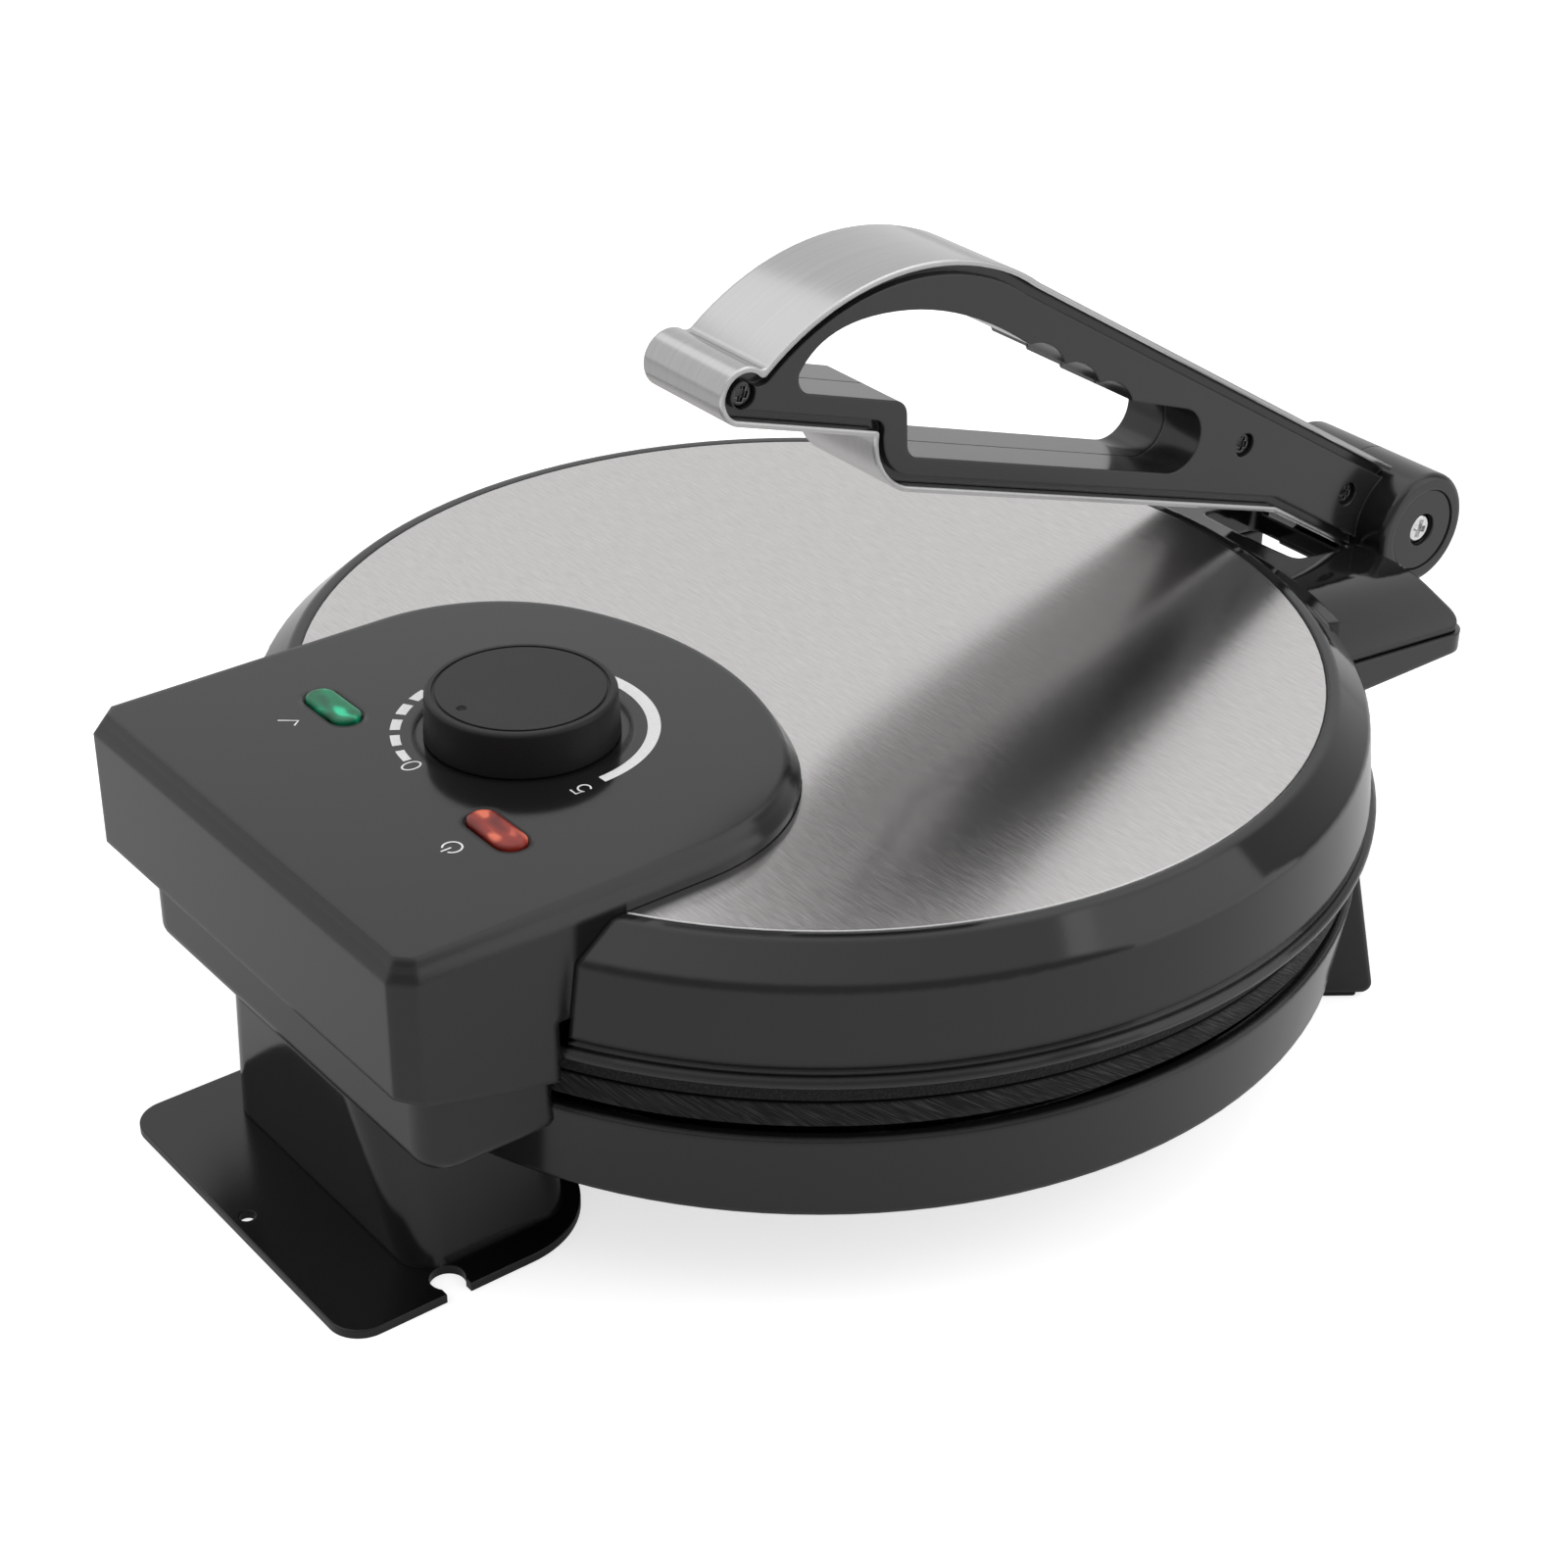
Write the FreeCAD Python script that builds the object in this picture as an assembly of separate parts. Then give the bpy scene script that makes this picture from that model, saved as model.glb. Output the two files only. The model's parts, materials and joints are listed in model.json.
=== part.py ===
import FreeCAD, Part
import math
import os

V = FreeCAD.Vector

# Electric flatbread press: round lid hinged on a round base, with a control console at the back,
# a wide nose at the front and a press lever that folds back over the lid. Millimetres, +Z up,
# user at -Y. Heights are above the surface it stands on, plan places are from the plates' centre.

# Clearances
moving_gap = 0.4        # between pieces that move past each other
seat_gap = 0.2          # round a piece set into another one
running_gap = 0.05      # shaft in its bearing
screw_gap = 0.2         # screw shank in a clearance hole
past = 1.0              # how far a cutting shape runs past a face
near = 0.01             # how close an edge lies to the place it is picked by

# Plates and their seam
plate_radius = 149.0
plate_seam = 66.9
plate_thickness = 7.0
plate_edge_round = 0.8

# Base shell
base_lip = 1.5
base_draft = 3.1
base_top_radius = plate_radius + base_lip
base_bottom_radius = base_top_radius - base_draft
base_top = 56.9
base_bottom = 31.9
base_wall = 3.0
base_floor = 2.5
base_opening_inset = 49.0
base_opening_radius = plate_radius - base_opening_inset
rim_step = 0.5
rim_step_height = 0.8

# Bottom cover and its screws
cover_overlap = 8.0
cover_thickness = 1.8
cover_screw_count = 4
cover_screw_angle = 45.0
cover_disc_radius = base_opening_radius + cover_overlap
cover_screw_circle = base_opening_radius + cover_overlap / 2

# Studs, heating elements, heat shield
stud_radius = 3.0
stud_inset = 37.0
stud_circle = plate_radius - stud_inset
stud_count = 3
stud_angle = 30.0
element_radius = 3.25
element_inset = 55.0
element_circle = plate_radius - element_inset
element_opening = 30.0
terminal_radius = 1.6
terminal_length = 14.0
shield_inset = 13.0
shield_radius = plate_radius - shield_inset
shield_thickness = 0.8
shield_height = 47.3

# Front legs
leg_angle = 36.0
leg_width = 25.0
leg_top = 53.3
leg_overhang = 13.0
leg_reach = plate_radius + leg_overhang
leg_foot_depth = 17.0
leg_round = 3.0
leg_shelf = 1.0
leg_side_round = 1.5
pad_thickness = 1.5
pad_inset = 1.5

# Rear housing, support column and foot plate
housing_half_width = 69.5
housing_overhang = 18.4
housing_back = plate_radius + housing_overhang
housing_top = 73.3
housing_bottom = 48.9
housing_wall = 3.0
housing_corner = 9.0
housing_edge = 4.0
column_half_width = 47.5
column_top_half_width = 35.5
column_inset_top = 2.0
column_inset_foot = 6.6
column_depth = 55.4
column_back_top = housing_back - column_inset_top
column_back_foot = housing_back - column_inset_foot
column_front = housing_back - column_depth
column_wall = 3.0
column_corner = 10.0
column_screw_inset = 10.0
column_boss_radius = 4.5
column_boss_height = 14.0
column_boss_roof = 2.0
plate_side_overhang = 9.5
plate_half_width = column_half_width + plate_side_overhang
plate_overhang = 18.8
plate_depth = 81.5
plate_back = housing_back + plate_overhang
plate_front = plate_back - plate_depth
plate_steel = 2.5
plate_back_corner = 9.0
plate_front_corner = 28.0
notch_inset = 31.7
notch_place = plate_back - notch_inset
notch_radius = 4.6
notch_depth = 10.0
notch_neck = 7.0
locating_hole_radius = 2.2
locating_hole_inset = 4.2

# Lid hinge
hinge_overhang = 1.2
hinge_y = housing_back + hinge_overhang
hinge_rise = 4.8
hinge_height = housing_top + hinge_rise
hinge_pin_radius = 2.0
knuckle_radius = 4.5
knuckle_length = 12.0
knuckle_inset = 31.5
knuckle_place = housing_half_width - knuckle_inset
bracket_foot = 8.0
bracket_foot_thickness = 2.0
leaf_depth = 10.0
leaf_thickness = 2.0

# Cord gland
gland_radius = 5.0
gland_bore = 3.6
gland_length = 15.0
gland_collar = 6.0
gland_collar_thickness = 2.5
gland_inset = 21.4
gland_y = housing_back - gland_inset
gland_lift = 0.3
gland_height = (housing_bottom + housing_top) / 2 + gland_lift

# Lid ring
ring_wall = 3.0
ring_roof_inset = 1.0
ring_top = 107.5
ring_overhang = 1.0
ring_slope = 9.1
ring_skirt_step = 2.3
ring_shoulder_radius = plate_radius + ring_overhang
ring_flat_radius = ring_shoulder_radius - ring_slope
ring_shoulder = 99.3
ring_shoulder_round = 3.0
ring_skirt_radius = ring_shoulder_radius + ring_skirt_step
ring_skirt_bottom = 78.9
bead_step = 1.7
bead_radius = ring_skirt_radius + bead_step
bead_top = 76.7
bead_bottom = 73.5
bead_groove = 1.0
ledge_width = 5.0
flange_top = 83.3
flange_thickness = 2.0
flange_width = 6.0

# Lid cover and frame
cover_inset = 3.3
cover_radius = ring_flat_radius - cover_inset
cover_sheet = 0.8
frame_sheet = 1.2

# Console on the lid
console_overhang = 8.1
console_depth = 147.1
console_back = hinge_y + console_overhang
console_side_overhang = 6.0
console_half_width = housing_half_width + console_side_overhang
console_corner = 5.0
console_front = console_back - console_depth
console_front_radius = 98.5
console_shoulder_radius = 55.0
console_top = 115.3
console_wall = 2.5
console_chamfer_rise = 5.0
console_chamfer_run = 3.4
console_bottom_back = 78.1
console_bottom_side = 67.5
console_floor_rise = 5.0
console_floor_height = hinge_height + console_floor_rise
console_floor_thickness = 2.0

# Knob, thermostat and dial
knob_inset = 83.7
knob_y = console_back - knob_inset
knob_radius = 25.0
knob_top = 126.8
knob_taper = 0.7
knob_wall = 3.5
knob_roof = 4.0
knob_roof_step = 1.0
knob_edge = 1.0
knob_stem_radius = 6.0
knob_groove_radius = 22.0
knob_groove_width = 0.9
knob_groove_depth = 0.5
knob_dimple_radius = 1.6
knob_dimple_place = 17.6
well_gap = 2.5
well_depth = 1.0
shaft_radius = 3.0
bushing_radius = 4.8
bushing_height = 2.5
nut_radius = 8.0
nut_thickness = 1.8
thermostat_width = 42.0
thermostat_depth = 32.0
thermostat_height = 24.0

# Signal lamps
lamp_x = 37.8
lamp_inset = 51.2
lamp_y = console_back - lamp_inset
lamp_length = 20.0
lamp_width = 8.2
lamp_rise = 0.9
lamp_edge = 0.8
lamp_flange = 1.6
lamp_flange_thickness = 1.5
lamp_holder_height = 10.0
lamp_holder_width = 7.0

# Nose: the wide front grip of the lid
nose_half_width = 65.0
nose_reach = 48.0
nose_front = ring_shoulder_radius + nose_reach
nose_bottom = 73.3
nose_split_root = 85.3
nose_split_front = 78.8
nose_hump_root = 98.3
nose_hump_front = 88.8
nose_hump_inset = 23.0
nose_shoulder_inset = 13.0
nose_hump_half_width = nose_half_width - nose_hump_inset
nose_shoulder_half_width = nose_half_width - nose_shoulder_inset
nose_corner = 8.0
nose_edge_share = 0.1        # heights of the hump's curve, as shares of its rise
nose_shoulder_share = 0.55
nose_hump_share = 0.92
nose_groove = 0.7
nose_inset = 0.9
nose_overlap = 22.0
nose_root = ring_shoulder_radius - nose_overlap
nose_band_thickness = 3.4
nose_band_top = 98.3
nose_band_inset = 1.67
nose_band_radius = ring_skirt_radius + nose_band_thickness
nose_band_half_angle = math.degrees(math.asin((nose_half_width - nose_band_inset) / nose_band_radius))
arm_channel_gap = 1.5
nose_screw_x = 40.0
nose_screw_inset = 22.0
nose_screw_y = nose_screw_inset - nose_front
nose_screw_length = 9.0
slot_half_width = 20.0
slot_back = 29.0
slot_wall = 4.0
slot_corner = 3.0

# Press lever, in its own frame: along the arm from the pivot, and square to it
pivot_reach = 20.5
pivot_y = -nose_front - pivot_reach
pivot_rise = 1.5
pivot_height = nose_hump_front + pivot_rise
lever_rest_angle = 18.0
lever_swing = 150.0
lever_half_width = 16.0
strap_thickness = 1.5
strap_end_gap = 1.6
shell_inset = 1.2
shell_groove_width = 2.6
shell_groove_depth = 2.6
shell_seam = 0.15
barrel_radius = 18.0
barrel_half_length = 26.0
barrel_edge = 2.2
arm_bottom_at_pivot = -15.4
arm_top_at_pivot = 13.6
arm_bend = 60.0
step_place = 227.0
step_run = 17.0
step_height = 14.2
tip_place = 273.5
tip_radius = 7.8
tip_roll_angle = 120.0
tip_valley_round = 2.5
crown_middle = (241.0, 54.6)
crown_peak = (203.0, 62.6)
crown_end = (184.0, 59.0)
crown_shoulder = (193.8, 61.6)
window_floor = 9.2
window_near_end = 101.0
window_end_radius = 9.6
window_step = 218.0
window_upper_floor = 23.8
window_far_end = 257.0
window_far_radius = 5.0
window_step_lean = 5.5
window_step_round = 5.0
window_crown_start = (254.0, 35.0)
window_crown_middle = (233.0, 46.4)
window_crown_end = (195.0, 46.2)
window_roof_end = (179.6, 42.0)
scallop_end = (133.5, 29.3)
scallop_count = 3
scallop_depth = 2.6
lever_screw_places = ((tip_place - 0.5, 22.0), (81.0, 19.2), (27.0, 6.5))

# Lever pivot
knuckle_drum_radius = 15.0
knuckle_half_width = 9.0
axle_radius = 4.0
pivot_cap_radius = 12.9
pivot_cap_thickness = 1.2
pivot_cap_hole = 5.2
pivot_neck_top = -20.0
pivot_neck_bottom = -66.0
neck_slot_margin = 5.0
pivot_recess = 1.6
axle_half_length = barrel_half_length - 2 * pivot_recess - moving_gap
axle_hole_depth = 6.6

# Screws
screw_head_radius = 3.4
screw_head_height = 2.0
screw_shank_radius = 1.5
screw_slot = 0.9
screw_slot_reach = 0.62    # share of the head's radius
screw_slot_depth = 0.55    # share of the head's height
flush_head_height = 1.2
pivot_head_radius = 4.4
pivot_head_height = 2.2
pivot_screw_length = 5.5

# Whole part: moved so that its box is centred over the origin
y_middle = (plate_back + pivot_y - barrel_radius) / 2

X_AXIS = V(1, 0, 0)
Y_AXIS = V(0, 1, 0)
Z_AXIS = V(0, 0, 1)
plate_bottom = plate_seam - moving_gap / 2 - plate_thickness
upper_plate_bottom = plate_seam + moving_gap / 2
upper_plate_top = upper_plate_bottom + plate_thickness - moving_gap


def on_plan(z):
    return lambda a, b: V(a, b, z)


def on_side(x):
    return lambda a, b: V(x, a, b)


def on_radius(a, b):
    return V(a, 0, b)


def rounded_wire(corners, place):
    """Closed wire through (a, b, radius) corners: a radius rounds one, a negative radius cuts it straight."""
    spans = []
    for i, (a, b, radius) in enumerate(corners):
        here = V(a, b, 0)
        before = V(*corners[i - 1][:2], 0)
        after = V(*corners[(i + 1) % len(corners)][:2], 0)
        back = (before - here).normalize()
        ahead = (after - here).normalize()
        half = back.getAngle(ahead) / 2
        reach = abs(radius) / math.tan(half)
        middle = here
        if radius > 0:
            middle = here + (back + ahead).normalize() * (radius / math.sin(half) - radius)
        spans.append((here + back * reach, middle, here + ahead * reach, radius))
    edges = []
    for i, (start, middle, end, radius) in enumerate(spans):
        last = spans[i - 1][2]
        if last.distanceToPoint(start) > 1e-6:
            edges.append(Part.makeLine(place(last.x, last.y), place(start.x, start.y)))
        if radius > 0:
            arc = Part.Arc(place(start.x, start.y), place(middle.x, middle.y), place(end.x, end.y))
            edges.append(arc.toShape())
        if radius < 0:
            edges.append(Part.makeLine(place(start.x, start.y), place(end.x, end.y)))
    return Part.Wire(edges)


def slab(corners, bottom, top):
    return Part.Face(rounded_wire(corners, on_plan(bottom))).extrude(V(0, 0, top - bottom))


def side_slab(corners, left, right):
    return Part.Face(rounded_wire(corners, on_side(left))).extrude(V(right - left, 0, 0))


def turned(corners, angle=360):
    return Part.Face(rounded_wire(corners, on_radius)).revolve(V(), Z_AXIS, angle)


def disc(radius, bottom, top, x=0, y=0):
    return Part.makeCylinder(radius, top - bottom, V(x, y, bottom))


def bar(radius, left, right, y=0, z=0):
    """Round bar along X."""
    return Part.makeCylinder(radius, right - left, V(left, y, z), X_AXIS)


def box(left, right, front, back, bottom, top):
    return Part.makeBox(right - left, back - front, top - bottom, V(left, front, bottom))


def rectangle(left, right, front, back, corner):
    return [(left, front, corner), (right, front, corner), (right, back, corner), (left, back, corner)]


def soften(shape, radius, wanted):
    """Round the edges that the test picks."""
    return shape.makeFillet(radius, [edge for edge in shape.Edges if wanted(edge)])


def at_height(z):
    return lambda edge: all(abs(v.Z - z) < near for v in edge.Vertexes)


def capsule(length, width, bottom, top, x, y):
    straight = (length - width) / 2
    r = width / 2
    edges = [Part.makeLine(V(x - straight, y - r, bottom), V(x + straight, y - r, bottom)),
             Part.Arc(V(x + straight, y - r, bottom), V(x + straight + r, y, bottom),
                      V(x + straight, y + r, bottom)).toShape(),
             Part.makeLine(V(x + straight, y + r, bottom), V(x - straight, y + r, bottom)),
             Part.Arc(V(x - straight, y + r, bottom), V(x - straight - r, y, bottom),
                      V(x - straight, y - r, bottom)).toShape()]
    return Part.Face(Part.Wire(edges)).extrude(V(0, 0, top - bottom))


def screw(length, head_radius=screw_head_radius, head_height=screw_head_height, shank=screw_shank_radius):
    """Cross-head screw: head above z = 0, shank below."""
    head = disc(head_radius, 0, head_height)
    head = soften(head, head_height / 3, at_height(head_height))
    reach = head_radius * screw_slot_reach
    depth = head_height * screw_slot_depth
    for across, along in ((screw_slot, reach), (reach, screw_slot)):
        head = head.cut(box(-across, across, -along, along, head_height - depth, head_height + past))
    return head.fuse(disc(shank, -length, 0)).removeSplitter()


def upside_down(shape, x, y, z):
    shape = shape.copy()
    shape.rotate(V(), X_AXIS, 180)
    shape.translate(V(x, y, z))
    return shape


def around(radius, count, first=0):
    """Places spread evenly on a circle."""
    angles = [math.radians(first + 360 * i / count) for i in range(count)]
    return [(radius * math.cos(a), radius * math.sin(a)) for a in angles]


def group(shapes):
    return Part.makeCompound(shapes)


# Base

def base_outside():
    """Everything inside the outer skin of the base shell, up to the plates."""
    return turned([(0, base_bottom, 0), (base_bottom_radius, base_bottom, 0),
                   (base_top_radius, base_top - rim_step_height, 0), (base_top_radius,
                                                                      housing_top + past, 0),
                   (0, housing_top + past, 0)])


def base_shell():
    rim = base_top_radius - rim_step
    floor = base_bottom + base_floor
    shell = turned([(base_opening_radius, base_bottom, 0), (base_bottom_radius, base_bottom,
                                                            base_floor / 2),
                    (base_top_radius, base_top - rim_step_height, rim_step / 2),
                    (rim, base_top - rim_step_height, 0), (rim, base_top, rim_step / 2),
                    (rim - base_wall, base_top, rim_step / 2),
                    (base_bottom_radius - base_wall, floor, 0), (base_opening_radius, floor, 0)])
    for x, y in around(cover_screw_circle, cover_screw_count, cover_screw_angle):
        shell = shell.cut(disc(screw_shank_radius + screw_gap, base_bottom - past, floor + past, x, y))
    return shell


def bottom_cover():
    cover = disc(cover_disc_radius, base_bottom - cover_thickness, base_bottom)
    cover = soften(cover, cover_thickness / 3, at_height(base_bottom - cover_thickness))
    for x, y in around(cover_screw_circle, cover_screw_count, cover_screw_angle):
        cover = cover.cut(disc(screw_shank_radius + screw_gap, base_bottom - cover_thickness - past,
                               base_bottom + past, x, y))
    return cover


def bottom_cover_screws():
    places = around(cover_screw_circle, cover_screw_count, cover_screw_angle)
    return group([upside_down(screw(cover_thickness + base_floor), x, y, base_bottom - cover_thickness)
                  for x, y in places])


def heating_plate(bottom, top):
    return turned([(0, bottom, 0), (plate_radius, bottom, plate_edge_round),
                   (plate_radius, top, plate_edge_round), (0, top, 0)])


def heating_element(centre_height):
    """Ring-shaped tube, open at the back, with two terminal pins pointing inwards."""
    sweep = 360 - element_opening
    section = Part.Wire(Part.makeCircle(element_radius, V(element_circle, 0, centre_height), Y_AXIS))
    element = Part.Face(section).revolve(V(), Z_AXIS, sweep)
    pin = Part.makeCylinder(terminal_radius, terminal_length + element_radius / 2,
                            V(element_circle - element_radius / 2, 0, centre_height), V(-1, 0, 0))
    for turn in (2 * terminal_radius, sweep - 2 * terminal_radius):
        terminal = pin.copy()
        terminal.rotate(V(), Z_AXIS, turn)
        element = element.fuse(terminal)
    element.rotate(V(), Z_AXIS, 90 + element_opening / 2)
    return element.removeSplitter()


def plate_studs(bottom, top):
    return group([disc(stud_radius, bottom, top, x, y) for x, y in around(stud_circle, stud_count,
                                                                          stud_angle)])


def lower_heat_shield():
    shield = disc(shield_radius, shield_height, shield_height + shield_thickness)
    for x, y in around(stud_circle, stud_count, stud_angle):
        shield = shield.cut(disc(stud_radius + running_gap, shield_height - past,
                                 shield_height + shield_thickness + past, x, y))
    return shield


def front_leg(side):
    profile = [(base_bottom_radius - leg_foot_depth, base_bottom, 0), (base_top_radius - leg_round,
                                                                       leg_top, 0),
               (base_top_radius + leg_shelf, leg_top, 0), (leg_reach, pad_thickness, leg_round),
               (leg_reach - leg_foot_depth, pad_thickness, leg_round)]
    wire = rounded_wire(profile, lambda a, b: V(-leg_width / 2, -a, b))
    leg = Part.Face(wire).extrude(V(leg_width, 0, 0))
    middle = -(leg_reach + base_top_radius) / 2
    leg = soften(leg, leg_side_round, lambda edge: abs(edge.BoundBox.Center.y - middle) < leg_round
                 and edge.BoundBox.ZLength > leg_top / 2)
    leg = leg.cut(base_outside())
    leg.rotate(V(), Z_AXIS, side * leg_angle)
    return leg


def leg_pads():
    pads = []
    for side in (-1, 1):
        half = leg_width / 2 - pad_inset
        pad = slab(rectangle(-half, half, -leg_reach + pad_inset + leg_round,
                             -leg_reach + leg_foot_depth - pad_inset, pad_inset), 0, pad_thickness)
        pad.rotate(V(), Z_AXIS, side * leg_angle)
        pads.append(pad)
    return group(pads)


# Rear support

def rear_housing():
    front = column_front
    block = slab([(-housing_half_width, front, 0), (housing_half_width, front, 0),
                  (housing_half_width, housing_back, housing_corner),
                  (-housing_half_width, housing_back, housing_corner)], housing_bottom, housing_top)
    block = soften(block, housing_edge, at_height(housing_bottom))
    block = block.cut(base_outside()).cut(disc(base_top_radius, base_bottom, housing_bottom + housing_edge))
    inside = housing_half_width - housing_wall
    cavity = slab([(-inside, front, 0), (inside, front, 0),
                   (inside, housing_back - housing_wall, housing_corner - housing_wall),
                   (-inside, housing_back - housing_wall, housing_corner - housing_wall)],
                  housing_bottom + housing_wall, housing_top - housing_wall)
    block = block.cut(cavity.cut(disc(base_top_radius + housing_wall, housing_bottom, housing_top)))
    block = block.cut(bar(gland_radius, housing_half_width - 2 * housing_wall, housing_half_width + past,
                          gland_y, gland_height))
    for x, y in bracket_screw_places():
        block = block.cut(disc(screw_shank_radius + screw_gap, housing_top - housing_wall - past,
                               housing_top + past, x, y))
    return block


def column_section(z, inset, corner):
    share = (z - plate_steel) / (housing_bottom - plate_steel)
    back = column_back_foot + share * (column_back_top - column_back_foot) - inset
    half = column_half_width + share * (column_top_half_width - column_half_width) - inset
    return rounded_wire(rectangle(-half, half, column_front + inset, back, corner), on_plan(z))


def column_screw_places():
    half = column_half_width - column_screw_inset
    return [(x, y) for x in (-half, half)
            for y in (column_front + column_screw_inset, column_back_foot - column_screw_inset)]


def support_column():
    column = Part.makeLoft([column_section(plate_steel, 0, column_corner),
                            column_section(housing_bottom, 0, column_corner)], True, True)
    column = column.cut(base_outside())
    roof = base_bottom - column_wall
    cavity = Part.makeLoft([column_section(plate_steel, column_wall, column_corner - column_wall),
                            column_section(roof, column_wall, column_corner - column_wall)], True, True)
    for x, y in column_screw_places():
        cavity = cavity.cut(disc(column_boss_radius, plate_steel, plate_steel + column_boss_height, x, y))
    column = column.cut(cavity)
    for x, y in column_screw_places():
        column = column.cut(disc(screw_shank_radius + screw_gap, plate_steel - past,
                                 plate_steel + column_boss_height - column_boss_roof, x, y))
    return column


def foot_plate():
    plate = slab([(-plate_half_width, plate_front, plate_front_corner),
                  (plate_half_width, plate_front, plate_front_corner),
                  (plate_half_width, plate_back, plate_back_corner),
                  (-plate_half_width, plate_back, plate_back_corner)], 0, plate_steel)
    plate = soften(plate, plate_steel / 6, at_height(plate_steel))
    notch_x = notch_depth - notch_radius - plate_half_width
    half = notch_neck / 2
    plate = plate.cut(disc(notch_radius, -past, plate_steel + past, notch_x, notch_place))
    plate = plate.cut(box(-plate_half_width - past, notch_x, notch_place - half, notch_place + half,
                          -past, plate_steel + past))
    plate = plate.cut(disc(locating_hole_radius, -past, plate_steel + past, 0,
                           plate_back - locating_hole_inset))
    for x, y in column_screw_places():
        plate = plate.cut(disc(screw_shank_radius + screw_gap, -past, plate_steel + past, x, y))
        plate = plate.cut(disc(screw_head_radius + screw_gap, -past, flush_head_height + screw_gap, x, y))
    return plate


def foot_plate_screws():
    top = flush_head_height + screw_gap
    length = plate_steel - top + column_boss_height / 2
    return group([upside_down(screw(length, head_height=flush_head_height), x, y, top)
                  for x, y in column_screw_places()])


# Lid hinge

def bracket_screw_places():
    x = knuckle_place + knuckle_length / 2
    y = hinge_y - knuckle_radius - bracket_foot / 2
    return [(-x, y), (x, y)]


def hinge_bracket(side):
    left = min(side * knuckle_place, side * (knuckle_place + knuckle_length))
    right = left + knuckle_length
    bracket = bar(knuckle_radius, left, right, hinge_y, hinge_height)
    web = box(left, right, hinge_y - knuckle_radius, hinge_y, housing_top, hinge_height)
    web = web.cut(box(left, right, housing_back, hinge_y + past, housing_top - past,
                      housing_top + hinge_pin_radius / 2))
    foot = box(left, right, hinge_y - knuckle_radius - bracket_foot, hinge_y - knuckle_radius, housing_top,
               housing_top + bracket_foot_thickness)
    bracket = bracket.fuse([web, foot]).removeSplitter()
    bracket = bracket.cut(bar(hinge_pin_radius + running_gap, left - past, right + past, hinge_y,
                              hinge_height))
    for x, y in bracket_screw_places():
        bracket = bracket.cut(disc(screw_shank_radius + screw_gap, housing_top - past,
                                   housing_top + bracket_foot_thickness + past, x, y))
    return bracket


def bracket_screws():
    top = housing_top + bracket_foot_thickness
    screws = []
    for x, y in bracket_screw_places():
        one = screw(bracket_foot_thickness + housing_wall)
        one.translate(V(x, y, top))
        screws.append(one)
    return group(screws)


def hinge_pin():
    half = knuckle_place + knuckle_length
    return bar(hinge_pin_radius, -half, half, hinge_y, hinge_height)


def hinge_leaf():
    outer = knuckle_place - moving_gap
    top = console_floor_height
    leaf = box(-outer, outer, hinge_y - leaf_depth, hinge_y + hinge_pin_radius, top - leaf_thickness, top)
    for side in (-1, 1):
        left = min(side * outer, side * (outer - knuckle_length))
        leaf = leaf.fuse(bar(knuckle_radius, left, left + knuckle_length, hinge_y, hinge_height))
        leaf = leaf.fuse(box(left, left + knuckle_length, hinge_y - hinge_pin_radius,
                             hinge_y + hinge_pin_radius,
                             hinge_height, top))
    leaf = leaf.removeSplitter()
    leaf = leaf.cut(bar(hinge_pin_radius + running_gap, -outer - past, outer + past, hinge_y, hinge_height))
    return leaf


def cord_gland():
    face = housing_half_width
    gland = bar(gland_radius - running_gap, face - housing_wall, face, gland_y, gland_height)
    collar = bar(gland_collar, face, face + gland_collar_thickness, gland_y, gland_height)
    stub = bar(gland_radius, face, face + gland_length, gland_y, gland_height)
    stub = soften(stub, (gland_radius - gland_bore) / 2, lambda edge: edge.BoundBox.XMin > face + past
                  and edge.BoundBox.XLength < near)
    gland = gland.fuse([collar, stub]).removeSplitter()
    return gland.cut(bar(gland_bore, face - housing_wall - past, face + gland_length + past, gland_y,
                         gland_height))


# Lid

cover_seat_radius = cover_radius + seat_gap
ledge_top = ring_top - cover_sheet
frame_top = flange_top + frame_sheet
groove_step = (ring_skirt_bottom - bead_top) / 3


def console_wire(inset, z):
    """Outline of the console, moved inwards by the inset: straight back and sides, round front."""
    half = console_half_width - inset
    back = console_back - inset
    corner = console_corner - inset * (2 - math.sqrt(2))
    centre = console_front + console_front_radius
    reach = console_front_radius - console_shoulder_radius
    side = console_half_width - console_shoulder_radius
    shoulder = centre - math.sqrt(reach ** 2 - side ** 2)
    lean = math.asin(side / reach)
    turn = math.pi / 4 + lean / 2
    radius = console_shoulder_radius - inset
    front = console_front_radius - inset
    points = [V(half, shoulder, z), V(half, back - corner, z), V(half - corner, back, z),
              V(corner - half, back, z), V(-half, back - corner, z), V(-half, shoulder, z)]
    middle = V(side + radius * math.sin(turn), shoulder - radius * math.cos(turn), z)
    join = V(front * math.sin(lean), centre - front * math.cos(lean), z)
    edges = [Part.makeLine(a, b) for a, b in zip(points, points[1:])]
    edges.append(Part.Arc(points[-1], V(-middle.x, middle.y, z), V(-join.x, join.y, z)).toShape())
    edges.append(Part.Arc(V(-join.x, join.y, z), V(0, centre - front, z), join).toShape())
    edges.append(Part.Arc(join, middle, points[0]).toShape())
    return Part.Wire(edges)


def console_block(inset, bottom, top):
    return Part.Face(console_wire(inset, bottom)).extrude(V(0, 0, top - bottom))


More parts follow.
